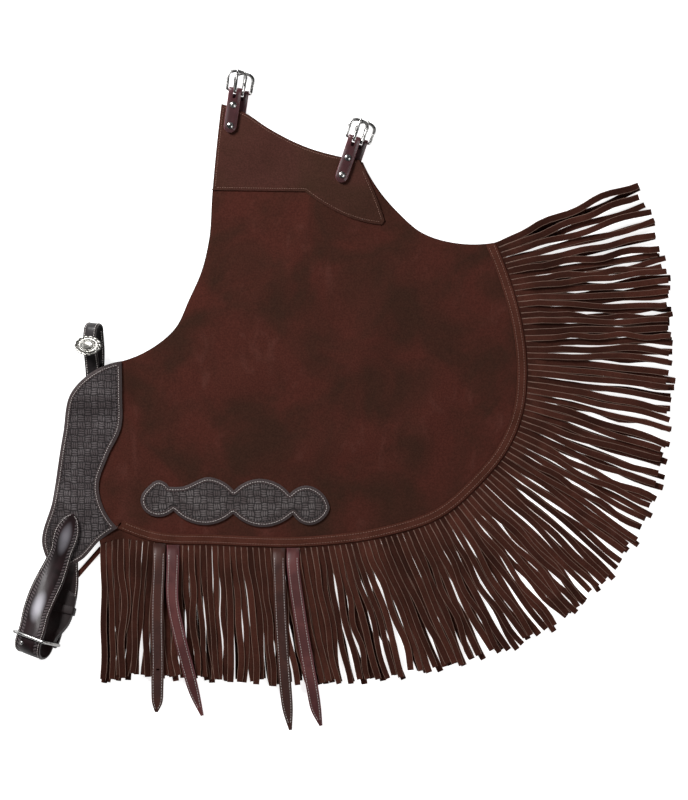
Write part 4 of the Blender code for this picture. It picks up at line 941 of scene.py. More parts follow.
class LegPlan:
    """Outlines of one leg, and the height at which the upper leg's underside lies."""

    def __init__(self, step: float) -> None:
        """Draws the outlines with points a step apart."""
        self.hem = smooth_curve(HEM_EDGE, step)
        thigh = smooth_curve(THIGH_EDGE, step)
        waist = smooth_curve(PANEL_WAIST_EDGE, step)
        toward = unit(thigh[-2] - thigh[-1])
        panel_hem = offset_line(self.hem, -PANEL_INSET)
        panel_hem[0] = thigh[-1] + toward * PANEL_INSET
        band_inner = offset_line(self.hem, -BAND_WIDTH)
        band_inner[0] = thigh[-1] + toward * BAND_WIDTH
        self.panel = np.vstack((thigh[:-1], panel_hem, waist[1:-1]))
        end = self.hem[-1] + unit(self.hem[-2] - self.hem[-1]) * BAND_END_GAP
        self.band = np.vstack((self.hem[:-1], end[None], band_inner[-2::-1]))
        self.yoke = np.vstack((smooth_curve(YOKE_CURVE, step)[:-1], smooth_curve(YOKE_BACK, step)[:-1]))
        inner = smooth_curve(FACING_INNER_EDGE, step)
        border = thigh[(edge_distance(inner, thigh)[0] > 1.5) & (thigh[:, 1] > 268.0)]
        self.facing = np.vstack((inner, border[:-1]))
        self.patch = smooth_curve(PATCH_OUTLINE, step, closed=True)
        self.lower_panel = np.vstack((thigh[1:-1], panel_hem[:-1], ((-286.0, -155.0),),
                                      smooth_curve(YOKE_CURVE, step)[1:-1] + (0.4, 0.0), ((-280.6, 49.6),)))
        self.lifts = self.under_pieces()

    def under_pieces(self) -> list[Lift]:
        """What the upper leg lies over, with the height each adds to the lower panel's top."""
        lifts = [Lift(self.yoke, YOKE_LEATHER - SUEDE, 8.0, 60.0)]
        for buckle in LEG_BUCKLES:
            bar = np.array(buckle.bar) + LEFT_BUCKLE_SHIFT
            end = bar - buckle.ahead * (buckle.length - 6.0)
            lifts.append(Lift(capsule(bar, end, CHAPE_WIDTH / 2), 2 * CHAPE_LEATHER + 2 * SEAM_GAP + 0.2,
                              16.0, 50.0))
        lifts.append(Lift(capsule((-354.0, -206.0), (-346.0, -152.0), 17.0),
                          YOKE_LEATHER + BELT_LEATHER + SEAM_GAP - SUEDE + 0.3, 12.0, 34.0))
        lifts.append(Lift(capsule((-314.6, 22.0), (-316.6, 44.0), 13.0),
                          YOKE_LEATHER + 2 * FRONT_STRAP_LEATHER + 2 * SEAM_GAP - SUEDE + 0.3, 10.0, 38.0))
        return lifts

    def underside(self, points: Plan) -> np.ndarray:
        """Height of the upper leg's underside at plan points."""
        rise = np.zeros(len(points))
        for lift in self.lifts:
            away = edge_distance(lift.outline, points)[0]
            away[inside(lift.outline, points)] = 0.0
            rise = np.maximum(rise, lift.height * (1 - ease((away - lift.margin) / lift.ramp)))
        for swell in SWELLS:
            lean = math.radians(swell.angle)
            gap = points - (swell.x, swell.y)
            along = (gap[:, 0] * math.cos(lean) + gap[:, 1] * math.sin(lean)) / swell.half_length
            across = (-gap[:, 0] * math.sin(lean) + gap[:, 1] * math.cos(lean)) / swell.half_width
            rise += swell.height * (1 - ease(np.hypot(along, across)))
        return SUEDE + SEAM_GAP + rise + self.creased(points)

    @staticmethod
    def creased(points: Plan) -> np.ndarray:
        """Height that the soft creases add, fading out at their ends."""
        added = np.zeros(len(points))
        for crease in CREASES:
            start = np.array(crease.start)
            way = np.array(crease.end) - start
            length = float(np.linalg.norm(way))
            share = (points - start) @ way / length ** 2
            away = np.abs((points - start) @ np.array((-way[1], way[0])) / length)
            fade = np.clip(1 - np.abs(share - 0.5) / 0.95, 0.0, 1.0)
            added = np.maximum(added, crease.height * ease(fade) * np.exp(-(away / crease.half_width) ** 2))
        return added

    def on_panel(self, points: Plan) -> np.ndarray:
        """Height of the underside of what lies on the upper panel."""
        return self.underside(points) + ON_PANEL

    def yoke_underside(self, points: Plan) -> np.ndarray:
        """Height of the yoke's underside, which steps down off the panel's edge."""
        away = edge_distance(self.panel, points)[0]
        away[inside(self.panel, points)] = 0.0
        return self.underside(points) + ON_PANEL * (1 - ease(away / 30.0))


@dataclass
class Sheet:
    """A cut piece of hide that lies on what is beneath it."""

    name: str
    node: str
    slot: str
    outline: Plan
    underside: Callable[[Plan], np.ndarray]
    thickness: float
    cell: float
    face: Material
    edge: Material
    edge_roll: float = 0.5
    seed: int = 3

    def surface(self, points: Plan) -> Points:
        """Points on the top face at plan points."""
        return np.column_stack((points, self.underside(points) + self.thickness))

    def normals(self, points: Plan) -> Points:
        """The top face's normal at plan points."""
        step = 1.0
        here = self.underside(points)
        slope_x = (self.underside(points + (step, 0.0)) - here) / step
        slope_y = (self.underside(points + (0.0, step)) - here) / step
        return unit(np.column_stack((-slope_x, -slope_y, np.ones(len(points)))))

    def triangulate(self) -> tuple[Plan, np.ndarray]:
        """Fills the outline with even triangles.

        Returns:
            Plan points, the outline's first, and the triangles' corner numbers.
        """
        low = self.outline.min(axis=0)
        high = self.outline.max(axis=0)
        chance = np.random.default_rng(self.seed)
        row_height = self.cell * math.sqrt(3) / 2
        rows = np.arange(low[1], high[1], row_height)
        columns = np.arange(low[0], high[0], self.cell)
        grid_x, grid_y = np.meshgrid(columns, rows)
        grid_x = grid_x + (np.arange(len(rows)) % 2)[:, None] * self.cell / 2
        grid = np.column_stack((grid_x.ravel(), grid_y.ravel()))
        grid += chance.uniform(-0.14, 0.14, grid.shape) * self.cell
        grid = grid[inside(self.outline, grid)]
        grid = grid[edge_distance(self.outline, grid)[0] > 0.5 * self.cell]
        count = len(self.outline)
        edges = [(index, (index + 1) % count) for index in range(count)]
        flat = [Vector(point) for point in np.vstack((self.outline, grid)).tolist()]
        found, _, faces, _, _, _ = delaunay_2d_cdt(flat, edges, [], 0, 1e-4)
        points = np.array([tuple(point) for point in found])
        triangles = np.array([tuple(face) for face in faces])
        kept = triangles[inside(self.outline, points[triangles].mean(axis=1))]
        first = points[kept[:, 1]] - points[kept[:, 0]]
        second = points[kept[:, 2]] - points[kept[:, 0]]
        flipped = first[:, 0] * second[:, 1] - first[:, 1] * second[:, 0] < 0
        kept[flipped] = kept[flipped][:, ::-1]
        return points, kept

    def build(self) -> Piece:
        """Makes the top, the underside and the cut edge as one skin."""
        points, triangles = self.triangulate()
        rim, mark = edge_distance(self.outline, points)
        low = self.underside(points)
        top = low + self.thickness - self.edge_roll * np.exp(-(rim / 1.1) ** 2)
        count = len(points)
        corners = np.vstack((np.column_stack((points, top)), np.column_stack((points, low))))
        faces = [tuple(face) for face in triangles.tolist()]
        faces += [(a + count, c + count, b + count) for a, b, c in triangles.tolist()]
        slots = [0] * len(faces)
        used: dict[tuple[int, int], int] = {}
        for face in triangles.tolist():
            for start, end in zip(face, face[1:] + face[:1]):
                used[(start, end)] = used.get((start, end), 0) + 1
        for start, end in used:
            if (end, start) not in used:
                faces.append((end, start, start + count, end + count))
                slots.append(1)
        piece = make_piece(self.name, corners, faces, [self.face, self.edge], slots,
                           np.vstack((points, points)) / WEAVE_BLOCK,
                           {"rim": np.tile(rim, 2) / 10, "round": np.tile(mark, 2) / 10})
        settle(piece, self.slot, self.node)
        return piece

    def seam(self, line: Plan) -> tuple[Points, Points]:
        """A plan line put on the top face, with normals for a thread."""
        fine, _ = spaced(line, 1.2)
        return self.surface(fine), self.normals(fine)

    def border_seams(self, distance: float) -> list[tuple[Points, Points]]:
        """Seams that follow the outline inside it."""
        return [self.seam(line) for line in inset_lines(self.outline, distance)
                if np.linalg.norm(np.diff(line, axis=0), axis=1).sum() > 6.0]


SPREAD_ROUNDS = 12


@dataclass
class Strand:
    """One cut strand of the fringe: its mark along the strip, its sideways direction and its plan stations."""

    mark: float
    side: np.ndarray
    spots: np.ndarray


class StripLine:
    """The fringe strip's two edges, read by the distance along the outer one."""

    def __init__(self, shift: np.ndarray) -> None:
        """Draws the strip for a leg moved by a plan shift."""
        hem = smooth_curve(HEM_EDGE, 12.0)
        inner = offset_line(hem, -STRIP_INSET)
        outer = offset_line(hem, STRIP_OUTSET)
        kept = outer[:, 0] > STRIP_UNDER_YOKE_START
        under = np.array(STRIP_UNDER_YOKE)
        tucked = under[:, 0] + np.array(STRIP_TUCK)
        self.inner = np.vstack((inner[kept], tucked)) + shift
        self.outer = np.vstack((outer[kept], under[:, 1])) + shift
        steps = np.linalg.norm(np.diff(self.outer, axis=0), axis=1)
        self.marks = np.concatenate(((0.0,), np.cumsum(steps)))
        self.length = float(self.marks[-1])

    def at(self, mark: float) -> tuple[np.ndarray, np.ndarray, np.ndarray]:
        """Inner point, outer point and unit tangent at a distance along the strip."""
        index = int(np.clip(np.searchsorted(self.marks, mark) - 1, 0, len(self.marks) - 2))
        share = (mark - self.marks[index]) / (self.marks[index + 1] - self.marks[index])
        near = self.inner[index] + share * (self.inner[index + 1] - self.inner[index])
        far = self.outer[index] + share * (self.outer[index + 1] - self.outer[index])
        return near, far, unit(self.outer[index + 1] - self.outer[index])

    def nearest(self, place: np.ndarray) -> float:
        """Distance along the strip of the spot nearest to a plan point."""
        return float(self.marks[np.linalg.norm(self.outer - place, axis=1).argmin()])


@dataclass
class Fringe:
    """A backing strip and its row of strands in three layers."""

    name: str
    node: str
    shift: np.ndarray
    count: int
    first_layer: float
    base: Callable[[Plan], np.ndarray]
    seed: int
    face: Material
    edge: Material
    width: float = 6.5
    thickness: float = 1.3
    riser: float = 18.0
    layers: int = 3
    stations: tuple[float, ...] = (0.42, 0.72, 1.0)
    clearance: float = 1.2
    segments: int = 18
    strip_share: float = 0.6

    def strands(self, line: StripLine) -> list[Strand]:
        """Lays out every strand, spread so that no two in a layer meet."""
        chance = random.Random(self.seed)
        phases = [chance.uniform(0, 2 * math.pi) for _ in range(4)]
        rows = sorted((line.nearest(np.array((row.x, row.y)) + self.shift), row.angle, row.length)
                      for row in FRINGE_ROWS)
        marks, angles, lengths = (np.array(column) for column in zip(*rows))
        pitch = line.length / self.count
        found = []
        for index in range(self.count):
            mark = (index + 0.5) * pitch
            angle = float(np.interp(mark, marks, angles))
            length = float(np.interp(mark, marks, lengths)) + chance.uniform(-5.0, 4.0) - STRIP_OUTSET
            _, root, tangent = line.at(mark)
            lean = math.radians(-angle)
            ahead = np.array((math.cos(lean), math.sin(lean)))
            side = np.array((-ahead[1], ahead[0]))
            if side.dot(tangent) < 0:
                side = -side
            drift = 5.0 * math.sin(mark / 19.0 + phases[0]) + 3.5 * math.sin(mark / 9.5 + phases[1])
            bow = 3.0 * math.sin(mark / 27.0 + phases[2]) + 2.0 * math.sin(mark / 12.0 + phases[3])
            stray = chance.uniform(-5.0, 5.0)
            spots = [root + ahead * self.riser]
            for share in self.stations:
                reach = self.riser + (length - self.riser) * share
                spots.append(root + ahead * reach
                             + side * ((drift + stray) * share ** 1.4 + bow * math.sin(math.pi * share)))
            found.append(Strand(mark, side, np.array(spots)))
        for _ in range(SPREAD_ROUNDS):
            for index in range(self.count - self.layers):
                left = found[index]
                right = found[index + self.layers]
                across = unit(left.side + right.side)
                for spot in range(1, len(self.stations) + 1):
                    room = (right.spots[spot] - left.spots[spot]).dot(across) - self.width - self.clearance
                    if room < 0:
                        left.spots[spot] += across * room / 2
                        right.spots[spot] -= across * room / 2
        return found

    def path(self, strand: Strand, height: float, chance: random.Random) -> tuple[Points, np.ndarray]:
        """Smooth path of a strand with its own waviness.

        Args:
            strand: The strand.
            height: Height of its layer.
            chance: Source of its differences.

        Returns:
            Points along its middle, and the share of its length at each.
        """
        inner, outer, _ = self.line.at(strand.mark)
        root = inner + (outer - inner) * self.strip_share
        riser = self.riser + float(np.linalg.norm(outer - root))
        low = float(self.base(root[None])[0]) + SUEDE / 2
        knots = np.vstack((root, strand.spots))
        ahead = unit(strand.spots[0] - root)
        steps = np.linalg.norm(np.diff(knots, axis=0), axis=1)
        marks = np.concatenate(((0.0,), np.cumsum(steps)))
        shares = np.concatenate((np.linspace(0.0, riser / marks[-1], 5)[:-1],
                                 np.linspace(riser / marks[-1], 1.0, self.segments - 3)))
        fine = shares * marks[-1]
        padded = np.vstack((knots[0] - ahead * steps[0], knots, 2 * knots[-1] - knots[-2]))
        plan = np.zeros((len(fine), 2))
        for index, mark in enumerate(fine):
            piece = int(np.clip(np.searchsorted(marks, mark) - 1, 0, len(steps) - 1))
            t = (mark - marks[piece]) / steps[piece]
            a, b, c, d = padded[piece:piece + 4]
            plan[index] = b + (c - b) * t if piece == 0 else smooth_between(a, b, c, d, t)
        wave = chance.uniform(60.0, 130.0)
        phase = chance.uniform(0.0, 2 * math.pi)
        sway = chance.uniform(0.4, 2.4) * ease((fine - riser) / 40.0)
        plan += (sway * np.sin(2 * math.pi * fine / wave + phase))[:, None] * strand.side
        rise = low + (height + chance.uniform(-0.12, 0.12) - low) * ease(fine / riser)
        return np.column_stack((plan, rise)), shares

    def build(self) -> Piece:
        """Makes the strip and every strand as one piece."""
        self.line = StripLine(self.shift)
        chance = random.Random(self.seed * 7 + 1)
        corners: list[np.ndarray] = []
        faces: list[tuple[int, ...]] = []
        slots: list[int] = []
        tones: list[float] = []
        self.lay_strip(corners, faces, slots, tones)
        pitch = self.line.length / self.count
        for index, strand in enumerate(self.strands(self.line)):
            layer = index % self.layers
            height = self.first_layer + layer * (self.thickness + SEAM_GAP)
            path, shares = self.path(strand, height, chance)
            self.lay_strand(strand, path, shares, pitch, layer == self.layers - 1, chance,
                            corners, faces, slots, tones)
        piece = make_piece(self.name, np.vstack(corners), faces, [self.face, self.edge], slots,
                           marks={"tone": np.array(tones)}, sharp=50.0)
        return settle(piece, "suede", self.node)

    def lay_strip(self, corners: list[np.ndarray], faces: list[tuple[int, ...]], slots: list[int],
                  tones: list[float]) -> None:
        """Adds the unsplit strip that the strands are cut from."""
        count = int(self.line.length / 6.0)
        shares = np.linspace(0.0, self.strip_share, 4)
        sides = len(shares)
        for step in range(count + 1):
            near, far, _ = self.line.at(self.line.length * step / count)
            plan = np.array([near + (far - near) * share for share in shares])
            low = self.base(plan)
            top = np.column_stack((plan, low + SUEDE))
            corners.append(np.vstack((top, np.column_stack((plan, low))[::-1])))
            tones.extend([0.97] * 2 * sides)
        ring = 2 * sides
        faces += ring_faces(ring, count + 1)
        faces += [tuple(range(ring))[::-1], tuple(range(count * ring, (count + 1) * ring))]
        slots += [0] * len(faces)

    def lay_strand(self, strand: Strand, path: Points, shares: np.ndarray, pitch: float, free: bool,
                   chance: random.Random, corners: list[np.ndarray], faces: list[tuple[int, ...]],
                   slots: list[int], tones: list[float]) -> None:
        """Adds one strand.

        Args:
            strand: The strand.
            path: Points along its middle.
            shares: Share of its length at each.
            pitch: Distance between roots.
            free: Whether nothing lies on it, so that it may curl up.
            chance: Source of its differences.
            corners: Corners so far.
            faces: Faces so far.
            slots: Material numbers so far.
            tones: Tone of each corner so far.
        """
        width = self.width * chance.uniform(1.08, 1.36)
        slit = chance.uniform(0.02, 0.10)
        tone = chance.choice((0.76, 0.88, 1.0, 1.06, 1.14)) * chance.uniform(0.94, 1.06)
        roll_size = math.radians(chance.uniform(4.0, 13.0) if free else chance.uniform(0.0, 2.5))
        roll_wave = chance.uniform(0.8, 2.2)
        roll_phase = chance.uniform(0.0, 2 * math.pi)
        cup = chance.uniform(0.1, 0.45) * (1 if chance.random() < 0.6 else -1) * (1.0 if free else 0.3)
        after = np.vstack((path[1:], 2 * path[-1] - path[-2]))
        before = np.vstack((2 * path[0] - path[1], path[:-1]))
        along = unit((after - before)[:, :2])
        sides = np.stack((-along[:, 1], along[:, 0]), axis=1)
        sides[(sides @ strand.side) < 0] *= -1
        start = sum(len(block) for block in corners)
        profile = ((-1.0, 1.0), (-0.86, 1.0), (-0.3, 1.0), (0.3, 1.0), (0.86, 1.0), (1.0, 1.0),
                   (1.0, -1.0), (0.3, -1.0), (-0.3, -1.0), (-1.0, -1.0))
        for middle, side, share in zip(path, sides, shares):
            rooted = 1 - float(ease((share - slit * 0.3) / slit))
            half = (width + rooted * (pitch - 0.3 - width)) / 2
            if share > 0.985:
                half *= 0.93
            roll = roll_size * math.sin(roll_wave * 2 * math.pi * share + roll_phase) * (1 - rooted)
            lift = abs(math.sin(roll)) * half if free else 0.0
            thick = self.thickness / 2 + rooted * (SUEDE - self.thickness) / 2
            ring = []
            for across, up in profile:
                height = up * (thick if abs(across) < 0.95 else thick * 0.8)
                height += cup * (1 - across * across) * (1 - rooted) + across * half * math.sin(roll) + lift
                place = middle[:2] + side * across * half * math.cos(roll)
                ring.append((place[0], place[1], middle[2] + height))
                tones.append(tone * (1 - 0.16 * rooted))
            corners.append(np.array(ring))
        ring_size = len(profile)
        outward = float(np.cross(np.append(sides[0], 0.0), np.append(along[0], 0.0))[2]) > 0
        end = start + (len(path) - 1) * ring_size
        skin = ring_faces(ring_size, len(path), start) + [tuple(range(end, end + ring_size))]
        faces += skin if outward else [face[::-1] for face in skin]
        slots += [1 if side in (0, 4, 5, 9) else 0 for side in range(ring_size)] * (len(path) - 1) + [1]


@dataclass
class Station:
    """One place of a strap: its middle, its width direction and its width."""

    centre: np.ndarray
    side: np.ndarray
    width: float


@dataclass(frozen=True)
class StrapMaterials:
    """Finishes of a strap's face, lining and cut edge."""

    face: Material
    lining: Material
    edge: Material


@dataclass
class Strap:
    """A strap with bevelled, burnished edges, smooth through its stations."""

    name: str
    stations: list[Station]
    thickness: float
    finish: StrapMaterials
    refine: int = 5
    opening: tuple[float, float] | None = None
    opening_half: float = 2.1
    crown: float = 0.0

    def rows(self) -> tuple[Points, Points, np.ndarray, Points, np.ndarray]:
        """Fine rows of the strap.

        Returns:
            Middles, width directions, widths, upward normals, and the station number of each row.
        """
        centres = np.array([station.centre for station in self.stations])
        sides = unit(np.array([station.side for station in self.stations]))
        widths = np.array([station.width for station in self.stations])
        packed = np.column_stack((centres, sides, widths))
        padded = np.vstack((2 * packed[0] - packed[1], packed, 2 * packed[-1] - packed[-2]))
        steps = np.linalg.norm(np.diff(padded[:, :3], axis=0), axis=1)
        knots = np.concatenate(((0.0,), np.cumsum(steps ** 0.5)))
        wanted = [index + part / self.refine
                  for index in range(len(packed) - 1) for part in range(self.refine)]
        wanted.append(float(len(packed) - 1))
        if self.opening:
            wanted = sorted(set(wanted) | set(self.opening))
        rows = []
        for number in wanted:
            piece = min(int(number), len(packed) - 2)
            a, b, c, d = padded[piece:piece + 4]
            t0, t1, t2, t3 = knots[piece:piece + 4]
            t = t1 + (number - piece) * (t2 - t1)
            first = (t1 - t) / (t1 - t0) * a + (t - t0) / (t1 - t0) * b
            second = (t2 - t) / (t2 - t1) * b + (t - t1) / (t2 - t1) * c
            third = (t3 - t) / (t3 - t2) * c + (t - t2) / (t3 - t2) * d
            fourth = (t2 - t) / (t2 - t0) * first + (t - t0) / (t2 - t0) * second
            fifth = (t3 - t) / (t3 - t1) * second + (t - t1) / (t3 - t1) * third
            rows.append((t2 - t) / (t2 - t1) * fourth + (t - t1) / (t2 - t1) * fifth)
        table = np.array(rows)
        middles = table[:, :3]
        across = unit(table[:, 3:6])
        after = np.vstack((middles[1:], 2 * middles[-1] - middles[-2]))
        before = np.vstack((2 * middles[0] - middles[1], middles[:-1]))
        along = unit(after - before)
        normals = unit(np.cross(along, across))
        return middles, across, np.maximum(table[:, 6], 1.0), normals, np.array(wanted)

    def build(self) -> Piece:
        """Makes the strap."""
        middles, across, widths, normals, numbers = self.rows()
        half_thick = self.thickness / 2
        bevel = min(0.6, half_thick * 0.6)
        corners = []
        uv = []
        gone = np.concatenate(((0.0,), np.cumsum(np.linalg.norm(np.diff(middles, axis=0), axis=1))))
        for middle, side, width, normal, mark in zip(middles, across, widths, normals, gone):
            half = width / 2
            hole = min(self.opening_half, half * 0.4)
            lobes = (-half, -half + min(bevel, half * 0.3), -hole, hole, half - min(bevel, half * 0.3), half)
            for sign, order in ((1, lobes), (-1, lobes[::-1])):
                for place in order:
                    share = place / half
                    up = sign * half_thick if abs(share) < 0.999 else sign * (half_thick - bevel)
                    up += self.crown * (1 - share * share)
                    corners.append(middle + side * place + normal * up)
                    uv.append((mark / 10.0, share))
        ring = 12
        faces = []
        slots = []
        kinds = (2, 0, 0, 0, 2, 2, 2, 1, 1, 1, 2, 2)
        opened = [bool(self.opening) and self.opening[0] - 1e-6 <= (a + b) / 2 <= self.opening[1] + 1e-6
                  for a, b in zip(numbers, numbers[1:])]
        for row in range(len(middles) - 1):
            low = row * ring
            for side in range(ring):
                follow = (side + 1) % ring
                if opened[row] and side in (2, 8):
                    continue
                faces.append((low + side, low + ring + side, low + ring + follow, low + follow))
                slots.append(kinds[side])
            if opened[row]:
                for top, bottom in ((2, 9), (3, 8)):
                    wall = (low + top, low + bottom, low + ring + bottom, low + ring + top)
                    faces.append(wall if top == 2 else wall[::-1])
                    slots.append(2)
                for end, shut in ((row, row == 0 or not opened[row - 1]),
                                  (row + 1, row + 1 >= len(opened) or not opened[row + 1])):
                    if shut:
                        base = end * ring
                        wall = (base + 2, base + 3, base + 8, base + 9)
                        faces.append(wall if end == row + 1 else wall[::-1])
                        slots.append(2)
        last = (len(middles) - 1) * ring
        for base, outward in ((0, True), (last, False)):
            for column in range(5):
                cap = (base + column, base + column + 1, base + 10 - column, base + 11 - column)
                faces.append(cap if outward else cap[::-1])
                slots.append(2)
        materials = [self.finish.face, self.finish.lining, self.finish.edge]
        return make_piece(self.name, np.array(corners), faces, materials, slots, np.array(uv), sharp=50.0)

    def seam(self, share: float, start: float, end: float, face: int = 1,
             inset: float | None = None) -> tuple[Points, Points]:
        """A line along the strap for a thread.

        Args:
            share: Side of the strap, -1 or 1, or a share of its half width.
            start: Station number where the line starts.
            end: Station number where it ends.
            face: 1 for the face, -1 for the lining.
            inset: Distance from the edge in place of a share.

        Returns:
            Points on the leather and its normal at each.
        """
        middles, across, widths, normals, numbers = self.rows()
        kept = (numbers >= start) & (numbers <= end)
        place = widths[kept] / 2 * share
        if inset is not None:
            place = np.sign(share) * np.maximum(widths[kept] / 2 - inset, widths[kept] * 0.1)
        line = (middles[kept] + across[kept] * place[:, None]
                + normals[kept] * face * (self.thickness / 2 + self.crown * 0.6))
        return line, normals[kept] * face


def ring_about(middle: np.ndarray, first: np.ndarray, second: np.ndarray, half_first: float,
               half_second: float, sides: int) -> Points:
    """An oval ring of points.

    Args:
        middle: Its middle.
        first: Unit direction of its first half size.
        second: Unit direction of its second half size.
        half_first: Half size along the first.
        half_second: Half size along the second.
        sides: How many points it has.

    Returns:
        The points.
    """
    turns = 2 * math.pi * (np.arange(sides) + 0.5) / sides
    return (middle + np.outer(np.cos(turns) * half_first, first)
            + np.outer(np.sin(turns) * half_second, second))


def loft(name: str, rings: Sequence[Points], closed: bool, finish: Material, sharp: float = 45.0,
         tone: np.ndarray | None = None) -> Piece:
    """A skin through rings of points; an open one is capped at both ends."""
    size = len(rings[0])
    corners = np.vstack(rings)
    faces = ring_faces(size, len(rings), closed=closed)
    if not closed:
        faces.append(tuple(range(size))[::-1])
        faces.append(tuple(range(len(corners) - size, len(corners))))
    volume = 0.0
    for face in faces:
        for second, third in zip(face[1:], face[2:]):
            volume += float(np.dot(corners[face[0]], np.cross(corners[second], corners[third])))
    if volume < 0:
        faces = [face[::-1] for face in faces]
    marks = {} if tone is None else {"tone": tone}
    return make_piece(name, corners, faces, [finish], marks=marks, sharp=sharp)


def round_path(points: Points, count: int, closed: bool) -> Points:
    """A smooth line through points of any number of columns, with count pieces between each two."""
    total = len(points)
    fine = []
    for index in range(total if closed else total - 1):
        if closed:
            a, b, c, d = (points[(index + step) % total] for step in (-1, 0, 1, 2))
        else:
            b, c = points[index], points[index + 1]
            a = points[index - 1] if index else 2 * b - c
            d = points[index + 2] if index + 2 < total else 2 * c - b
        for piece in range(count):
            fine.append(smooth_between(a, b, c, d, piece / count))
    if not closed:
        fine.append(points[-1])
    return np.array(fine)


LOOP_RADIUS = BAR_RADIUS + 0.4 + CHAPE_LEATHER / 2
LAYER_OFFSET = (CHAPE_LEATHER + SEAM_GAP) / 2
TONGUE_WIDTH = 3.2
TONGUE_THICKNESS = 1.6
TONGUE_EYE_RADIUS = BAR_RADIUS + SEAM_GAP + TONGUE_THICKNESS / 2
FRAME_SIDE = ((5.0, 0.0, BAR_RADIUS, BAR_RADIUS), (8.9, 0.0, BAR_RADIUS, BAR_RADIUS), (10.4, 1.1, 1.8, 1.6),
              (10.9, 4.2, 2.0, 1.5), (10.9, 10.5, 2.0, 1.5), (11.3, 16.0, 2.1, 1.5), (10.2, 20.6, 2.2, 1.5),
              (6.6, 23.7, 2.1, 1.5), (0.0, 24.7, 1.9, 1.5))


@dataclass(frozen=True)
class BarPlace:
    """Where a leg buckle's bar is, and its lean."""

    middle: tuple[float, float, float]
    tilt: float

    def put(self, points: Points) -> Points:
        """Points made about the bar's middle, put in place on the leg."""
        lean = math.radians(self.tilt)
        turn = np.array(((math.cos(lean), -math.sin(lean), 0.0), (math.sin(lean), math.cos(lean), 0.0),
                         (0.0, 0.0, 1.0)))
        return np.asarray(points) @ turn + self.middle


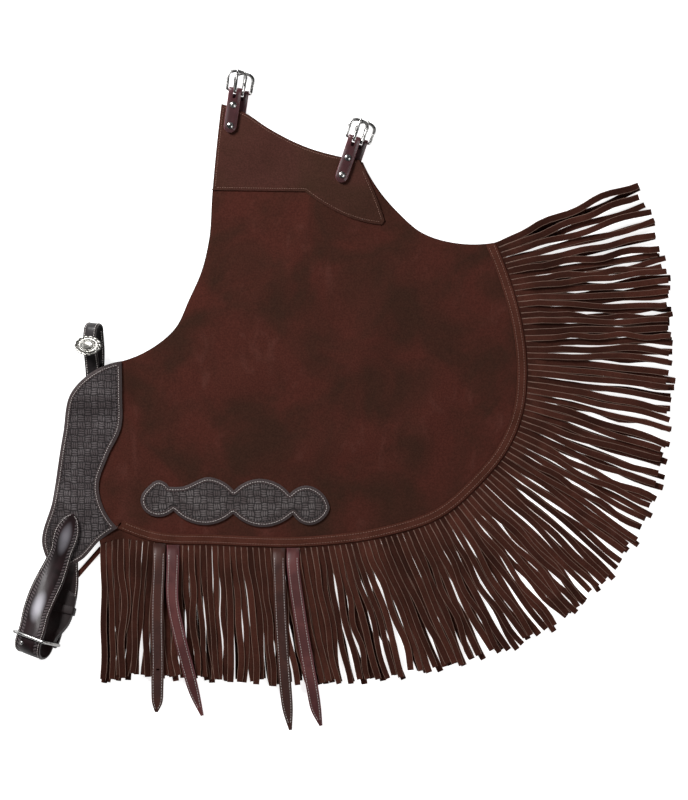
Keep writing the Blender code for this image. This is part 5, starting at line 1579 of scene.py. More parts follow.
@dataclass
class LegBuckleSet:
    """A folded strap end with its frame, tongue and, on the upper leg, two rivets."""

    side: Side
    buckle: Buckle
    place: BarPlace
    finishes: Finishes

    def build(self) -> list[Piece]:
        """Makes the set's pieces."""
        pieces = [self.chape(), self.frame(), self.tongue()]
        if self.side is Side.RIGHT:
            pieces += [self.rivet(letter, forward) for letter, forward in zip("ab", self.buckle.rivets)]
        return pieces

    @property
    def label(self) -> str:
        """Side and number, as the solids are named."""
        return f"{self.side.value}_{{}}_{self.buckle.number}"

    def chape(self) -> Piece:
        """The strap end round the bar, with its slot for the tongue."""
        reach = self.buckle.length
        rows = [(-reach, LAYER_OFFSET, 5.0), (-reach + 2.0, LAYER_OFFSET, 10.6),
                (-reach + 5.0, LAYER_OFFSET, 15.0), (-reach + 9.0, LAYER_OFFSET, CHAPE_WIDTH),
                (-28.0, LAYER_OFFSET, CHAPE_WIDTH), (-16.0, LAYER_OFFSET, CHAPE_WIDTH),
                (-10.0, LAYER_OFFSET + 0.5, CHAPE_WIDTH), (-4.0, LOOP_RADIUS - 0.35, CHAPE_WIDTH)]
        rows += [(LOOP_RADIUS * math.cos(math.radians(turn)), LOOP_RADIUS * math.sin(math.radians(turn)),
                  CHAPE_WIDTH) for turn in (90, 60, 30, 0, -30, -60, -90)]
        rows += [(-4.0, -LOOP_RADIUS + 0.35, CHAPE_WIDTH), (-10.0, -LAYER_OFFSET - 0.5, CHAPE_WIDTH),
                 (-16.0, -LAYER_OFFSET, CHAPE_WIDTH), (-28.0, -LAYER_OFFSET, CHAPE_WIDTH),
                 (-reach + 12.0, -LAYER_OFFSET, CHAPE_WIDTH)]
        turned = self.place.put(np.array(((0.0, 0.0, 0.0), (1.0, 0.0, 0.0))))
        across = turned[1] - turned[0]
        centres = self.place.put(np.array([(0.0, forward, height) for forward, height, _ in rows]))
        stations = [Station(centre, -across, row[2]) for centre, row in zip(centres, rows)]
        finish = StrapMaterials(self.finishes.chape, self.finishes.chape, self.finishes.chape_edge)
        name = self.label.format("chape")
        strap = Strap(f"{name}_leather", stations, CHAPE_LEATHER, finish, refine=3, opening=(6.0, 15.1))
        piece = settle(strap.build(), "strap_leather", name)
        return piece

    def frame(self) -> Piece:
        """The round-topped frame with its straight bar."""
        mirrored = [(-x, y, wide, high) for x, y, wide, high in FRAME_SIDE[-2::-1]]
        path = round_path(np.array(list(FRAME_SIDE) + mirrored), 4, True)
        rings = []
        for index, (x, y, wide, high) in enumerate(path):
            after = path[(index + 1) % len(path)]
            along = unit(after[:2] - path[index - 1][:2])
            outward = np.array((along[1], -along[0], 0.0))
            rings.append(self.place.put(ring_about(np.array((x, y, 0.0)), outward, UP, wide, high, 14)))
        piece = loft(self.label.format("frame") + "_metal", rings, True, self.finishes.nickel)
        return settle(piece, "nickel", self.label.format("buckle_frame"), body=self.label.format("frame"))

    def tongue(self) -> Piece:
        """The tongue: an open eye round the bar and a flat arm."""
        path = [(TONGUE_EYE_RADIUS * math.cos(math.radians(350.0 - 32.5 * step)),
                 TONGUE_EYE_RADIUS * math.sin(math.radians(350.0 - 32.5 * step)), TONGUE_WIDTH)
                for step in range(9)]
        path += [(8.0, TONGUE_EYE_RADIUS, TONGUE_WIDTH), (18.0, TONGUE_EYE_RADIUS, TONGUE_WIDTH * 0.9),
                 (24.5, TONGUE_EYE_RADIUS, TONGUE_WIDTH * 0.8),
                 (28.0, TONGUE_EYE_RADIUS - 0.4, TONGUE_WIDTH * 0.5)]
        fine = round_path(np.array(path), 3, False)
        rings = []
        for index, (forward, height, width) in enumerate(fine):
            before = fine[max(index - 1, 0)]
            after = fine[min(index + 1, len(fine) - 1)]
            along = unit(np.array((0.0, after[0] - before[0], after[1] - before[1])))
            normal = np.array((0.0, -along[2], along[1]))
            shape = ((-0.5, -0.32), (-0.34, -0.5), (0.34, -0.5), (0.5, -0.32),
                     (0.5, 0.32), (0.34, 0.5), (-0.34, 0.5), (-0.5, 0.32))
            rings.append(self.place.put(np.array([(across * width, 0.0, 0.0) + normal * up * TONGUE_THICKNESS
                                                  for across, up in shape]) + (0.0, forward, height)))
        piece = loft(self.label.format("tongue") + "_metal", rings, False, self.finishes.nickel, 60.0)
        return settle(piece, "nickel", self.label.format("buckle_tongue"), body=self.label.format("tongue"))

    def rivet(self, letter: str, forward: float) -> Piece:
        """A domed rivet through the chape."""
        ahead = np.append(self.buckle.ahead, 0.0)
        top = LAYER_OFFSET + CHAPE_LEATHER / 2 + SEAM_GAP
        centre = np.array(self.place.middle) + ahead * forward + UP * top
        name = f"right_rivet_{self.buckle.number}{letter}"
        rivet = domed_rivet(f"{name}_metal", centre, UP, 4.2, 1.7, self.finishes.nickel)
        return settle(rivet, "nickel", name)


def domed_rivet(name: str, centre: np.ndarray, normal: np.ndarray, radius: float, height: float,
                finish: Material) -> Piece:
    """A turned rivet head with a thin brim.

    Args:
        name: Name of the piece.
        centre: Middle of its seat.
        normal: Unit direction that it faces.
        radius: Radius of its brim.
        height: Height of its dome.
        finish: Its metal.

    Returns:
        The piece.
    """
    first = unit(np.cross(normal, (0.3, 1.0, 0.1)))
    second = np.cross(normal, first)
    profile = ((1.0, 0.0), (1.0, 0.16), (0.95, 0.26), (0.86, 0.34), (0.78, 0.55), (0.6, 0.8), (0.36, 0.95),
               (0.14, 1.0))
    rings = [ring_about(centre + normal * height * up, first, second, radius * across, radius * across, 24)
             for across, up in profile]
    return loft(name, rings, False, finish, 70.0)


BELT_WIDTH = 38.0
BELT_LOOP_RADIUS = 15.0
BELT_LOOP_ROLL = 28.0
BELT_LOOP_AXIS = np.array((-391.0, -306.5, 34.2))
BELT_ACROSS = flat_unit(0.948, -0.317)
BELT_BAR_RADIUS = 2.0
BELT_BAR_SETBACK = 6.0
KEEPER_SIDE_ROOM = 2.0
KEEPER_ROOM = 1.6
TAIL_ROOM = 0.2
FRONT_STRAP_WIDTH = 18.0
FRONT_LOOP_RADIUS = 9.5
FRONT_LOOP_ROLL = 25.0
FRONT_LOOP_AXIS = np.array((-317.3, 87.2, 14.4))
FRONT_ACROSS = flat_unit(0.995, -0.1)
YOKE_REST = 12.78

Row = tuple[float, float, float, float, float]
BELT_NEAR: Sequence[Row] = (
    (-342.9, -144.5, YOKE_REST, 0.0, 3.0), (-344.7, -149.0, YOKE_REST, 0.0, 16.0),
    (-347.3, -156.5, YOKE_REST, 0.0, 25.5), (-350.8, -166.4, YOKE_REST, 0.0, 31.5),
    (-354.6, -178.5, YOKE_REST, 0.0, 32.0), (-358.6, -192.3, YOKE_REST, 1.0, 29.0),
    (-364.0, -208.0, 14.6, 5.0, 31.5), (-371.6, -226.5, 19.5, 11.0, 36.0),
    (-380.6, -246.5, 27.5, 18.0, BELT_WIDTH), (-388.4, -268.5, 37.0, 24.0, BELT_WIDTH),
    (-392.9, -289.0, 44.0, 27.5, BELT_WIDTH),
)
BELT_FAR: Sequence[Row] = (
    (-345.4, -146.5, 4.8, 0.0, 3.0), (-346.2, -151.0, 4.8, 0.0, 16.0), (-347.2, -158.0, 4.8, 0.0, 25.5),
    (-348.8, -168.0, 4.8, 0.0, 31.0), (-351.8, -191.8, 4.8, 0.0, 30.0), (-353.7, -213.0, 4.8, 0.0, 33.0),
    (-354.9, -230.0, 5.6, 3.0, 36.5), (-357.6, -252.0, 9.8, 12.0, BELT_WIDTH),
    (-364.5, -279.0, 14.6, 22.0, BELT_WIDTH),
)
FRONT_UPPER: Sequence[Row] = (
    (-318.6, 22.0, 6.6, 0.0, FRONT_STRAP_WIDTH), (-318.9, 36.0, 6.6, 0.0, FRONT_STRAP_WIDTH),
    (-319.8, 47.0, 9.6, 8.0, FRONT_STRAP_WIDTH), (-320.9, 58.0, 15.0, 17.0, FRONT_STRAP_WIDTH),
)
FRONT_LOWER: Sequence[Row] = (
    (-313.7, 22.0, 4.3, 0.0, FRONT_STRAP_WIDTH), (-313.4, 36.0, 4.3, 0.0, FRONT_STRAP_WIDTH),
    (-312.8, 48.0, 4.6, 5.0, FRONT_STRAP_WIDTH), (-312.2, 64.0, 5.4, 18.0, FRONT_STRAP_WIDTH),
)


@dataclass(frozen=True)
class RolledPlane:
    """Frame of a tilted loop: its axis, width direction, normal, and the way that its bend points."""

    axis: np.ndarray
    across: np.ndarray
    normal: np.ndarray
    heading: np.ndarray

    @classmethod
    def about(cls, axis: np.ndarray, level: np.ndarray, roll: float, turn: float) -> RolledPlane:
        """A plane whose level width direction is rolled about its heading."""
        lean = math.radians(roll)
        return cls(axis, level * math.cos(lean) + UP * math.sin(lean),
                   -level * math.sin(lean) + UP * math.cos(lean),
                   np.array((level[1], -level[0], 0.0)) * turn)

    def bend(self, radius: float, start: float, end: float, count: int, width: float) -> list[Station]:
        """Stations round a bend, from one angle to another; 90 degrees is the near face."""
        turns = np.radians(np.linspace(start, end, count + 1))
        return [Station(self.axis + self.normal * radius * math.sin(turn)
                        + self.heading * radius * math.cos(turn), self.across, width) for turn in turns]


def stations_of(rows: Sequence[Row]) -> list[Station]:
    """Stations of a strap from rows of place, height, roll and width."""
    found = []
    for index, (x, y, height, roll, width) in enumerate(rows):
        before = rows[max(index - 1, 0)]
        after = rows[min(index + 1, len(rows) - 1)]
        across = flat_unit(-(after[1] - before[1]), after[0] - before[0])
        if across[0] < 0:
            across = -across
        lean = math.radians(roll)
        found.append(Station(np.array((x, y, height)), across * math.cos(lean) + UP * math.sin(lean), width))
    return found


def upward(stations: Sequence[Station], index: int) -> np.ndarray:
    """Upward normal of a strap at one of its stations."""
    before = stations[max(index - 1, 0)].centre
    after = stations[min(index + 1, len(stations) - 1)].centre
    normal = unit(np.cross(stations[index].side, after - before))
    return -normal if normal[2] < 0 else normal


@dataclass
class Belt:
    """The back belt in two halves, with its buckle frame, keeper and rivet."""

    finishes: Finishes

    def build(self) -> list[Piece]:
        """Makes the belt's pieces."""
        self.plane = RolledPlane.about(BELT_LOOP_AXIS, BELT_ACROSS, BELT_LOOP_ROLL, 1.0)
        self.spacing = BELT_LEATHER + SEAM_GAP + TAIL_ROOM
        self.bar_radius = BELT_LOOP_RADIUS + self.spacing + BELT_LEATHER / 2 + SEAM_GAP + BELT_BAR_RADIUS
        self.curl_radius = BELT_BAR_RADIUS + SEAM_GAP + BELT_LEATHER / 2
        self.setback = self.plane.heading * BELT_BAR_SETBACK
        self.bar = self.plane.axis - self.plane.normal * self.bar_radius - self.setback
        far = stations_of(BELT_FAR)
        far.append(Station(self.bar + self.plane.normal * self.curl_radius - self.plane.heading * 6.0,
                           self.plane.across, BELT_WIDTH))
        pieces = self.billet_half(far)
        pieces.append(self.keeper(far))
        pieces += self.buckle_half(far)
        pieces += [self.frame(), self.rivet()]
        return pieces

    @property
    def leather(self) -> StrapMaterials:
        """The belt's finishes."""
        return StrapMaterials(self.finishes.belt, self.finishes.belt_lining, self.finishes.belt_edge)

    def billet_half(self, far: list[Station]) -> list[Piece]:
        """The near half, from its petal end on the yoke round the bend to its tail, and its stitches."""
        near = stations_of(BELT_NEAR)
        flat_rows = len(near)
        near += self.plane.bend(BELT_LOOP_RADIUS, 90.0, -90.0, 8, BELT_WIDTH)
        for index in (9, 8, 7):
            lift = upward(far, index) * self.spacing
            near.append(Station(far[index].centre + lift, far[index].side, BELT_WIDTH))
        start = far[7].centre + lift
        end = far[6].centre + upward(far, 6) * self.spacing
        for share, width in ((0.25, 34.0), (0.42, 25.0), (0.55, 8.0)):
            side = unit(far[7].side + (far[6].side - far[7].side) * share)
            near.append(Station(start + (end - start) * share, side, width))
        strap = Strap("belt_billet_leather", near, BELT_LEATHER, self.leather, crown=0.5)
        piece = settle(strap.build(), "belt_leather", "belt_billet_half")
        thread = Thread(self.finishes.pale_thread, 2.9, 2.2, 0.9, 0.4)
        last = flat_rows + 9.0
        seams = [strap.seam(side, 0.25, last, 1, 2.2) for side in (-1, 1)]
        stitches = settle(thread.sew("belt_billet_stitches", seams), "belt_leather")
        return [piece, stitches]

    def buckle_half(self, far: list[Station]) -> list[Piece]:
        """The far half, from its petal end between the yokes round the buckle's bar, and its stitches."""
        stations = list(far)
        curl = RolledPlane.about(self.bar, BELT_ACROSS, BELT_LOOP_ROLL, 1.0)
        stations += curl.bend(self.curl_radius, 90.0, -90.0, 6, BELT_WIDTH)
        stations.append(Station(self.bar - self.plane.normal * self.curl_radius - self.plane.heading * 14.0,
                                self.plane.across, BELT_WIDTH))
        finish = StrapMaterials(self.finishes.belt_lining, self.finishes.belt, self.finishes.belt_edge)
        strap = Strap("belt_far_leather", stations, BELT_LEATHER, finish, crown=0.2)
        piece = settle(strap.build(), "belt_leather", "belt_buckle_half")
        thread = Thread(self.finishes.pale_thread, 2.9, 2.2, 0.9, 0.4)
        seams = [strap.seam(side, 3.6, len(far) - 1.0, 1, 2.4) for side in (-1, 1)]
        stitches = settle(thread.sew("belt_far_stitches", seams), "belt_leather")
        return [piece, stitches]

    def keeper(self, far: list[Station]) -> Piece:
        """A narrow loop round the far half and the billet's tail."""
        lower = far[7].centre + (far[8].centre - far[7].centre) * 0.45
        side = unit(far[7].side + (far[8].side - far[7].side) * 0.45)
        along = unit(far[8].centre - far[7].centre)
        normal = np.cross(side, along)
        normal = -normal if normal[2] < 0 else normal
        middle = lower + normal * self.spacing / 2
        half_width = BELT_WIDTH / 2 + KEEPER_SIDE_ROOM
        half_height = BELT_LEATHER + SEAM_GAP + KEEPER_ROOM
        rings = []
        for across, up, out_across, out_up in rounded_rectangle(half_width, half_height, 1.4):
            outward = side * out_across + normal * out_up
            spot = middle + side * across + normal * up
            rings.append(np.array([spot + outward * outset + along * forward for outset, forward in
                                   ((-0.7, -4.7), (-0.7, 4.7), (-0.2, 5.0), (0.5, 4.8), (0.75, 3.6),
                                    (0.78, 0.0), (0.75, -3.6), (0.5, -4.8), (-0.2, -5.0))]))
        piece = loft("belt_keeper_leather", rings, True, self.finishes.belt_lining, 60.0)
        return settle(piece, "belt_leather", "belt_keeper")

    def frame(self) -> Piece:
        """The buckle's frame, seen from its side."""
        front_reach = BELT_LOOP_RADIUS + BELT_LEATHER / 2 + SEAM_GAP + BELT_BAR_RADIUS
        half_width = BELT_WIDTH / 2 + BELT_BAR_RADIUS + 2.6
        centre_up = (front_reach - self.bar_radius) / 2
        half_height = (front_reach + self.bar_radius) / 2
        rings = []
        for across, up, out_across, out_up in rounded_rectangle(half_width, half_height, 3.0):
            outward = self.plane.across * out_across + self.plane.normal * out_up
            spot = (self.plane.axis - self.setback + self.plane.across * across
                    + self.plane.normal * (up + centre_up))
            rings.append(ring_about(spot, outward, self.plane.heading, BELT_BAR_RADIUS, BELT_BAR_RADIUS, 14))
        piece = loft("belt_buckle_frame_metal", rings, True, self.finishes.nickel)
        return settle(piece, "nickel", "belt_buckle_frame")

    def rivet(self) -> Piece:
        """The small rivet at the bend."""
        spot = self.plane.axis + self.plane.normal * (BELT_LOOP_RADIUS + BELT_LEATHER / 2 + SEAM_GAP)
        spot = spot - self.plane.across * 8.5 + self.plane.heading * 4.6 - self.plane.normal * 0.6
        normal = unit(self.plane.normal * 0.94 + self.plane.heading * 0.34)
        piece = domed_rivet("belt_rivet_metal", spot, normal, 2.6, 1.2, self.finishes.nickel)
        return settle(piece, "nickel", "belt_rivet")


def rounded_rectangle(half_width: float, half_height: float, radius: float) -> list[tuple[float, ...]]:
    """Spots round a rectangle with round corners.

    Args:
        half_width: Half its width.
        half_height: Half its height.
        radius: Radius of its corners.

    Returns:
        For each spot its two coordinates and its outward direction.
    """
    spots = []
    for quarter, (across, up) in enumerate(((1, 1), (-1, 1), (-1, -1), (1, -1))):
        for step in range(5):
            turn = math.pi / 2 * (quarter + step / 4)
            out = (math.cos(turn), math.sin(turn))
            spots.append((across * (half_width - radius) + radius * out[0],
                          up * (half_height - radius) + radius * out[1], *out))
    return spots


@dataclass
class FrontStrap:
    """The short front strap in two halves, fastened through a silver slide buckle."""

    finishes: Finishes
    half_length: float = 19.0
    half_width: float = 12.5
    lobes: int = 14
    turn: float = 4.0

    def build(self) -> list[Piece]:
        """Makes the strap's pieces."""
        self.plane = RolledPlane.about(FRONT_LOOP_AXIS, FRONT_ACROSS, FRONT_LOOP_ROLL, -1.0)
        lower = stations_of(FRONT_LOWER)
        lower += self.plane.bend(FRONT_LOOP_RADIUS, -90.0, 90.0, 7, FRONT_STRAP_WIDTH)
        end = self.plane.axis + self.plane.normal * FRONT_LOOP_RADIUS
        lower.append(Station(end - self.plane.heading * 16.0, self.plane.across, FRONT_STRAP_WIDTH))
        pieces = []
        thread = Thread(self.finishes.pale_thread, 2.9, 2.2, 1.0, 0.45)
        shown = {"lower": ((0.3, 4.5, -1), (6.0, 12.0, 1)), "upper": ((0.3, 3.0, -1),)}
        for half, stations in (("lower", lower), ("upper", stations_of(FRONT_UPPER))):
            leather = StrapMaterials(self.finishes.belt_plain, self.finishes.belt_plain,
                                     self.finishes.belt_edge)
            strap = Strap(f"front_strap_{half}_leather", stations, FRONT_STRAP_LEATHER, leather)
            piece = settle(strap.build(), "belt_leather", f"front_strap_{half}")
            seams = [strap.seam(side, first, last, face, 2.4) for first, last, face in shown[half]
                     for side in (-1, 1)]
            stitches = settle(thread.sew(f"front_strap_{half}_stitches", seams), "belt_leather")
            pieces += [piece, stitches]
        pieces += [self.plate(end - self.plane.heading * 19.0), self.bar(end - self.plane.heading * 19.0)]
        return pieces

    def plate(self, centre: np.ndarray) -> Piece:
        """The domed plate: scalloped and beaded rim, fluted ground, roped oval and polished middle."""
        plane = self.plane
        base = centre + plane.normal * (FRONT_STRAP_LEATHER / 2 + SEAM_GAP)
        lean = math.radians(self.turn)
        long_way = plane.across * math.cos(lean) + plane.heading * math.sin(lean)
        short_way = plane.heading * math.cos(lean) - plane.across * math.sin(lean)
        profile = ((1.0, 0.0, 1.0), (1.0, 0.9, 1.0), (0.985, 1.5, 1.0), (0.95, 1.95, 1.0), (0.90, 2.1, 1.0),
                   (0.855, 1.85, 0.4), (0.83, 1.55, 0.0), (0.80, 1.7, 0.4), (0.74, 2.1, 0.9), (0.66, 2.35, 1.0),
                   (0.58, 2.3, 0.8), (0.535, 2.05, 0.1), (0.51, 2.5, 0.8), (0.48, 2.9, 1.0), (0.445, 2.75, 0.6),
                   (0.425, 2.45, 0.1), (0.40, 2.9, 1.0), (0.32, 3.35, 1.0), (0.2, 3.6, 1.0), (0.06, 3.7, 1.0))
        sides = 28 * self.lobes // 2
        rings = []
        tones = []
        for share, height, tone in profile:
            ring = []
            for step in range(sides):
                around = 2 * math.pi * step / sides
                lobe = abs(math.cos(self.lobes * around / 2)) ** 0.7
                reach = share * (1 - 0.085 * (1 - lobe) * ease((share - 0.6) / 0.3))
                up = height
                bright = tone
                if share > 0.87:
                    up += 0.35 * (lobe - 0.5)
                    bright = tone * (0.15 + 0.85 * lobe)
                elif 0.56 < share < 0.82:
                    flute = abs(math.sin(self.lobes * around))
                    up += 0.45 * flute - 0.3
                    bright = tone * (0.25 + 0.75 * flute)
                elif 0.44 < share < 0.52:
                    rope = abs(math.sin(22 * around))
                    up += 0.3 * rope
                    bright = tone * (0.45 + 0.55 * rope)
                ring.append(base + plane.normal * up + long_way * self.half_length * reach * math.cos(around)
                            + short_way * self.half_width * reach * math.sin(around))
                tones.append(bright)
            rings.append(np.array(ring))
        piece = loft("silver_plate_metal", rings, False, self.finishes.silver, 80.0, np.array(tones))
        return settle(piece, "silver", "silver_buckle_plate")

    def bar(self, centre: np.ndarray) -> Piece:
        """The bar behind the plate that holds the strap."""
        plane = self.plane
        base = centre + plane.normal * (FRONT_STRAP_LEATHER / 2 + SEAM_GAP)
        half = FRONT_STRAP_WIDTH / 2 + 1.4
        depth = FRONT_STRAP_LEATHER + 2 * SEAM_GAP + 1.6
        corner = 1.4
        path = [(-half, -SEAM_GAP, -1.0, 0.0), (-half, -depth + corner, -1.0, 0.0)]
        for step in range(1, 5):
            turn = math.pi / 2 * step / 4
            path.append((-half + corner - corner * math.cos(turn), -depth + corner - corner * math.sin(turn),
                         -math.cos(turn), -math.sin(turn)))
        path += [(-across, up, -out, down) for across, up, out, down in path[::-1]]
        rings = [ring_about(base + plane.across * across + plane.normal * up,
                            plane.across * out + plane.normal * down, plane.heading, 0.8, 1.6, 10)
                 for across, up, out, down in path]
        piece = loft("silver_bar_metal", rings, False, self.finishes.silver, 60.0,
                     np.ones(10 * len(rings)))
        return settle(piece, "silver", "silver_buckle_bar")


@dataclass(frozen=True)
class StrapRow:
    """A leg strap: where it leaves the hem, its roll, and its plan points past the fringe's risers."""

    name: str
    root_x: float
    roll: float
    points: tuple[tuple[float, float], ...]
    reddish: bool
    hole: bool = False


LEG_STRAPS = (
    StrapRow("right_leg_strap_1", -234.5, 0.0, ((-236.9, -266.7), (-236.2, -330.2), (-236.6, -366.0),
                                                (-236.9, -383.5), (-238.1, -395.6)), False, True),
    StrapRow("left_leg_strap_1", -216.8, 18.0, ((-217.2, -254.0), (-210.0, -292.1), (-198.8, -336.6),
                                                (-190.0, -370.0), (-179.8, -400.3)), True),
    StrapRow("right_leg_strap_2", -82.6, 0.0, ((-80.0, -279.4), (-76.8, -330.2), (-74.2, -364.0),
                                               (-71.4, -392.0), (-67.9, -418.5)), False),
    StrapRow("left_leg_strap_2", -64.6, 12.0, ((-55.0, -279.0), (-45.1, -338.0), (-40.0, -366.0),
                                               (-35.4, -392.0), (-29.2, -413.0)), True),
)


@dataclass
class LegStraps:
    """The four straps that hang over the fringe, each stitched along both edges."""

    finishes: Finishes
    hem: Plan
    fringe_top: float
    width: float = 15.5

    def build(self) -> list[Piece]:
        """Makes the straps and their stitches."""
        pieces = []
        for row in LEG_STRAPS:
            stations = self.stations(row)
            face = self.finishes.strap_pink if row.reddish else self.finishes.strap
            edge = self.finishes.chape_edge if row.reddish else self.finishes.strap_edge
            strap = Strap(f"{row.name}_leather", stations, LEG_STRAP_LEATHER, StrapMaterials(face, face, edge),
                          refine=6, opening=(4.26, 4.32) if row.hole else None, opening_half=2.0, crown=0.25)
            piece = settle(strap.build(), "strap_leather", row.name)
            thread = Thread(self.finishes.pale_thread, 3.4, 2.4, 0.75, 0.34)
            seams = [strap.seam(side, 1.4, 6.7, 1, 2.4) for side in (-1, 1)]
            stitches = settle(thread.sew(f"{row.name}_stitches", seams), "strap_leather")
            pieces += [piece, stitches]
        return pieces

    def stations(self, row: StrapRow) -> list[Station]:
        """Stations of one strap."""
        bottom = self.hem[self.hem[:, 1] < 0]
        order = np.argsort(bottom[:, 0])
        start = float(np.interp(row.root_x, bottom[order, 0], bottom[order, 1]))
        places = [(row.root_x, start - step) for step in (2.0, 7.5, 24.0)] + list(row.points)
        rest = 2 * ON_PANEL + LEG_STRAP_LEATHER / 2 + 0.4
        top = self.fringe_top + SEAM_GAP + LEG_STRAP_LEATHER / 2 + 0.3
        raised = top + math.sin(math.radians(row.roll)) * self.width / 2
        heights = (rest, rest, top, raised, raised, raised, top - 1.5, top - 4.0)
        rolls = (0.0, 0.0, 0.0, row.roll, row.roll, row.roll, row.roll / 2, row.roll / 2)
        widths = (self.width,) * 6 + (self.width * 0.86, 4.0)
        return stations_of([(x, y, height, roll, width)
                            for (x, y), height, roll, width in zip(places, heights, rolls, widths)])


UPPER_BAR_HEIGHT = 13.65
RIGHT_STRANDS = 114
LEFT_STRANDS = 86
LOWER_YOKE_TUCK = (-3.6, 3.2)
LOWER_YOKE_TUCK_START = (-352.0, -163.0)
LOWER_YOKE_TUCK_RAMP = (14.0, -12.0)


@dataclass
class Leg:
    """One leg's sheets, fringe, buckles and stitches."""

    side: Side
    plan: LegPlan
    finishes: Finishes
    strand_thickness: float = 1.3

    @property
    def first_layer(self) -> float:
        """Height of the leg's lowest layer of strands."""
        low = SEAM_GAP + self.strand_thickness / 2
        return low + (3 * (self.strand_thickness + SEAM_GAP) if self.side is Side.RIGHT else 0.0)

    @property
    def fringe_top(self) -> float:
        """Height of the top of the leg's highest layer of strands."""
        return self.first_layer + 2 * (self.strand_thickness + SEAM_GAP) + self.strand_thickness / 2

    def build(self) -> list[Piece]:
        """Makes the leg."""
        return self.build_upper() if self.side is Side.RIGHT else self.build_lower()

    def build_lower(self) -> list[Piece]:
        """Makes the left leg, flat on the floor."""
        finishes = self.finishes

        def floor(points: Plan) -> np.ndarray:
            """The floor's height."""
            return np.zeros(len(points))

        outline = self.plan.lower_panel + LEFT_LEG_SHIFT
        panel = Sheet("left_panel_suede", "left_leg_panel", "suede", outline, floor, SUEDE, 9.0,
                      finishes.suede, finishes.suede_edge)
        outline = self.plan.yoke + LEFT_LEG_SHIFT
        tucked = np.clip((outline - LOWER_YOKE_TUCK_START) / LOWER_YOKE_TUCK_RAMP, 0.0, 1.0).prod(axis=1)
        outline = outline + tucked[:, None] * LOWER_YOKE_TUCK
        yoke = Sheet("left_yoke_leather", "left_yoke", "stamped_leather", outline, floor,
                     YOKE_LEATHER, 4.0, finishes.stamped, finishes.stamped_edge)
        pieces = [panel.build(), yoke.build()]
        pieces.append(Fringe("left_fringe_suede", "left_fringe", LEFT_LEG_SHIFT, LEFT_STRANDS,
                             self.first_layer, floor, 11, finishes.fringe, finishes.strand_edge).build())
        for buckle in LEG_BUCKLES:
            bar = np.array(buckle.bar) + LEFT_BUCKLE_SHIFT
            height = SUEDE + SEAM_GAP + CHAPE_LEATHER + SEAM_GAP / 2
            pieces += LegBuckleSet(self.side, buckle, BarPlace((bar[0], bar[1], height), buckle.tilt),
                                   finishes).build()
        return pieces

    def build_upper(self) -> list[Piece]:
        """Makes the right leg, which lies on the left one."""
        finishes = self.finishes
        plan = self.plan
        pale = finishes.pale_thread
        brown = finishes.brown_thread
        panel = Sheet("right_panel_suede", "right_leg_panel", "suede", plan.panel, plan.underside, SUEDE, 5.5,
                      finishes.suede, finishes.suede_edge)
        facing = Sheet("right_facing_suede", "right_thigh_facing", "facing_suede", plan.facing, plan.on_panel,
                       FACING_SUEDE, 4.5, finishes.facing, finishes.suede_edge)
        patch = Sheet("right_patch_leather", "right_patch", "stamped_leather", plan.patch, plan.on_panel,
                      PATCH_LEATHER, 2.8, finishes.patch, finishes.stamped_edge, 0.8)
        band = Sheet("right_band_suede", "right_hem_band", "suede", plan.band, plan.on_panel, BAND_SUEDE, 4.0,
                     finishes.band, finishes.band, 0.4)
        yoke = Sheet("right_yoke_leather", "right_yoke", "stamped_leather", plan.yoke, plan.yoke_underside,
                     YOKE_LEATHER, 3.2, finishes.stamped, finishes.stamped_edge, 0.9)
        sheets = [panel, facing, patch, band, yoke]
        made = [sheet.build() for sheet in sheets]
        seams = {
            "facing": (Thread(brown, 3.0, 2.2, 0.65, 0.3), facing.border_seams(3.2)),
            "patch": (Thread(pale, 3.3, 2.4, 0.85, 0.42), patch.border_seams(3.6)),
            "band": (Thread(brown, 3.4, 2.3, 0.7, 0.32), band.border_seams(2.6)),
            "yoke": (Thread(pale, 3.0, 2.1, 0.8, 0.42), yoke.border_seams(4.2)),
        }
        stitches = [settle(thread.sew(f"right_{name}_stitches", lines),
                           "stamped_leather" if name in ("patch", "yoke") else "suede")
                    for name, (thread, lines) in seams.items()]
        fringe = Fringe("right_fringe_suede", "right_fringe", np.zeros(2), RIGHT_STRANDS, self.first_layer,
                        plan.underside, 5, finishes.fringe, finishes.strand_edge).build()
        pieces = made + stitches + [fringe]
        for buckle in LEG_BUCKLES:
            pieces += LegBuckleSet(self.side, buckle, BarPlace((*buckle.bar, UPPER_BAR_HEIGHT), buckle.tilt),
                                   finishes).build()
        return pieces


def tie_thong(finishes: Finishes) -> Piece:
    """Makes the thin thong from the lower fringe strip to the belt's far half."""
    stations = stations_of([(-308.0, -187.9, 1.4, 0.0, 6.4), (-320.0, -201.6, 1.4, 0.0, 6.2),
                            (-339.5, -223.9, 1.4, 0.0, 6.4)])
    strap = Strap("tie_thong_leather", stations, 2.0,
                  StrapMaterials(finishes.suede, finishes.suede, finishes.strand_edge), refine=8)
    return settle(strap.build(), "suede", "tie_thong")


LAMPS = (("key", (-1.45, 1.5, 1.5), 0.9, 80.0), ("fill", (1.5, -0.9, 2.3), 1.6, 24.0))


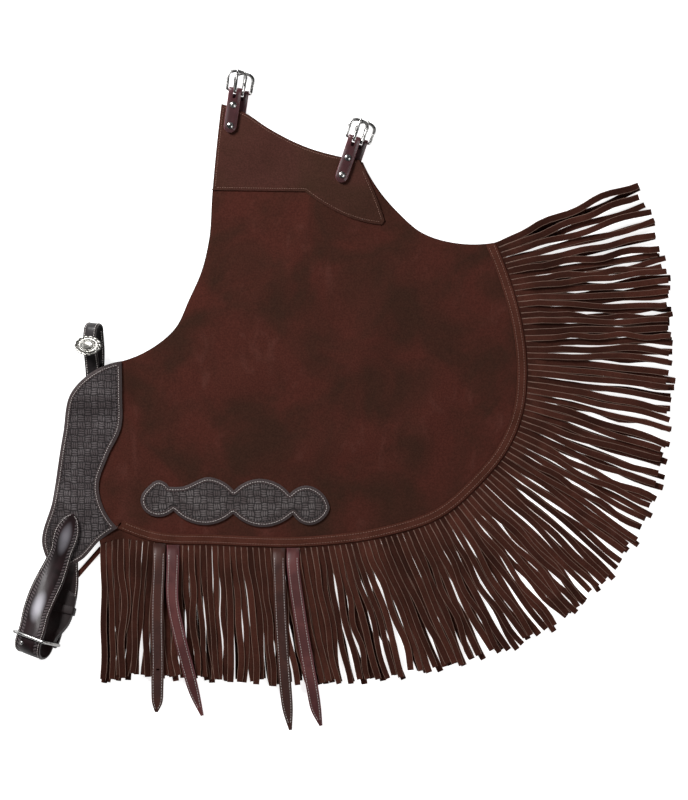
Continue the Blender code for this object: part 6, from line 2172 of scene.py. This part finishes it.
@dataclass
class Studio:
    """Pale floor, soft lights and the camera that looks straight down as the photograph was taken."""

    distance: float = 6.0

    def build(self) -> None:
        """Sets the stage."""
        self.floor()
        self.lights()
        self.camera()

    def floor(self) -> None:
        """A pale floor."""
        bench = Bench("studio floor")
        cloud = bench.noise(2.0, 2.0)
        bench.surface(Base_Color=bench.blend(cloud, (0.74, 0.74, 0.74, 1.0), (0.78, 0.78, 0.78, 1.0)),
                      Roughness=0.9, Emission_Color=(1.0, 1.0, 1.0, 1.0), Emission_Strength=0.85)
        mesh = bpy.data.meshes.new("studio_floor")
        mesh.from_pydata([(-3, -3, -0.0005), (3, -3, -0.0005), (3, 3, -0.0005), (-3, 3, -0.0005)], [],
                         [(0, 1, 2, 3)])
        mesh.materials.append(bench.material)
        floor = bpy.data.objects.new("studio_floor", mesh)
        bpy.context.scene.collection.objects.link(floor)

    def lights(self) -> None:
        """White surroundings and two soft lights."""
        world = bpy.data.worlds.new("studio")
        world.use_nodes = True
        backdrop = world.node_tree.nodes["Background"]
        tree = world.node_tree
        parts = tree.nodes.new("ShaderNodeSeparateXYZ")
        tree.links.new(tree.nodes.new("ShaderNodeTexCoord").outputs["Generated"], parts.inputs[0])
        sky = tree.nodes.new("ShaderNodeMapRange")
        sky.interpolation_type = "SMOOTHSTEP"
        for label, value in (("From Min", 0.5), ("From Max", 0.95), ("To Min", 1.0), ("To Max", 0.6)):
            sky.inputs[label].default_value = value
        tree.links.new(parts.outputs["Z"], sky.inputs["Value"])
        tree.links.new(sky.outputs["Result"], backdrop.inputs["Strength"])
        bpy.context.scene.world = world
        for name, place, size, power in LAMPS:
            data = bpy.data.lights.new(name, "AREA")
            data.shape = "DISK"
            data.size = size
            data.energy = power
            light = bpy.data.objects.new(name, data)
            light.location = place
            light.rotation_euler = (-Vector(place)).to_track_quat("-Z", "Y").to_euler()
            bpy.context.scene.collection.objects.link(light)

    def camera(self) -> None:
        """The camera."""
        data = bpy.data.cameras.new("camera")
        data.sensor_width = 36.0
        data.lens = 36.0 * self.distance / PHOTO_HEIGHT
        data.clip_end = 20.0
        camera = bpy.data.objects.new("camera", data)
        camera.location = (PLAN_SHIFT[0] * MM, PLAN_SHIFT[1] * MM, self.distance)
        bpy.context.scene.collection.objects.link(camera)
        bpy.context.scene.camera = camera
        bpy.context.scene.view_settings.view_transform = "Standard"


def main() -> None:
    """Builds the looks of the pair round its solids."""
    logging.basicConfig(level=logging.INFO, format="%(message)s")
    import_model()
    finishes = Finishes()
    plan = LegPlan(OUTLINE_STEP)
    Leg(Side.LEFT, plan, finishes).build()
    right = Leg(Side.RIGHT, plan, finishes)
    right.build()
    LegStraps(finishes, plan.hem, right.fringe_top).build()
    tie_thong(finishes)
    Belt(finishes).build()
    FrontStrap(finishes).build()
    Studio().build()


if __name__ == "__main__":
    main()
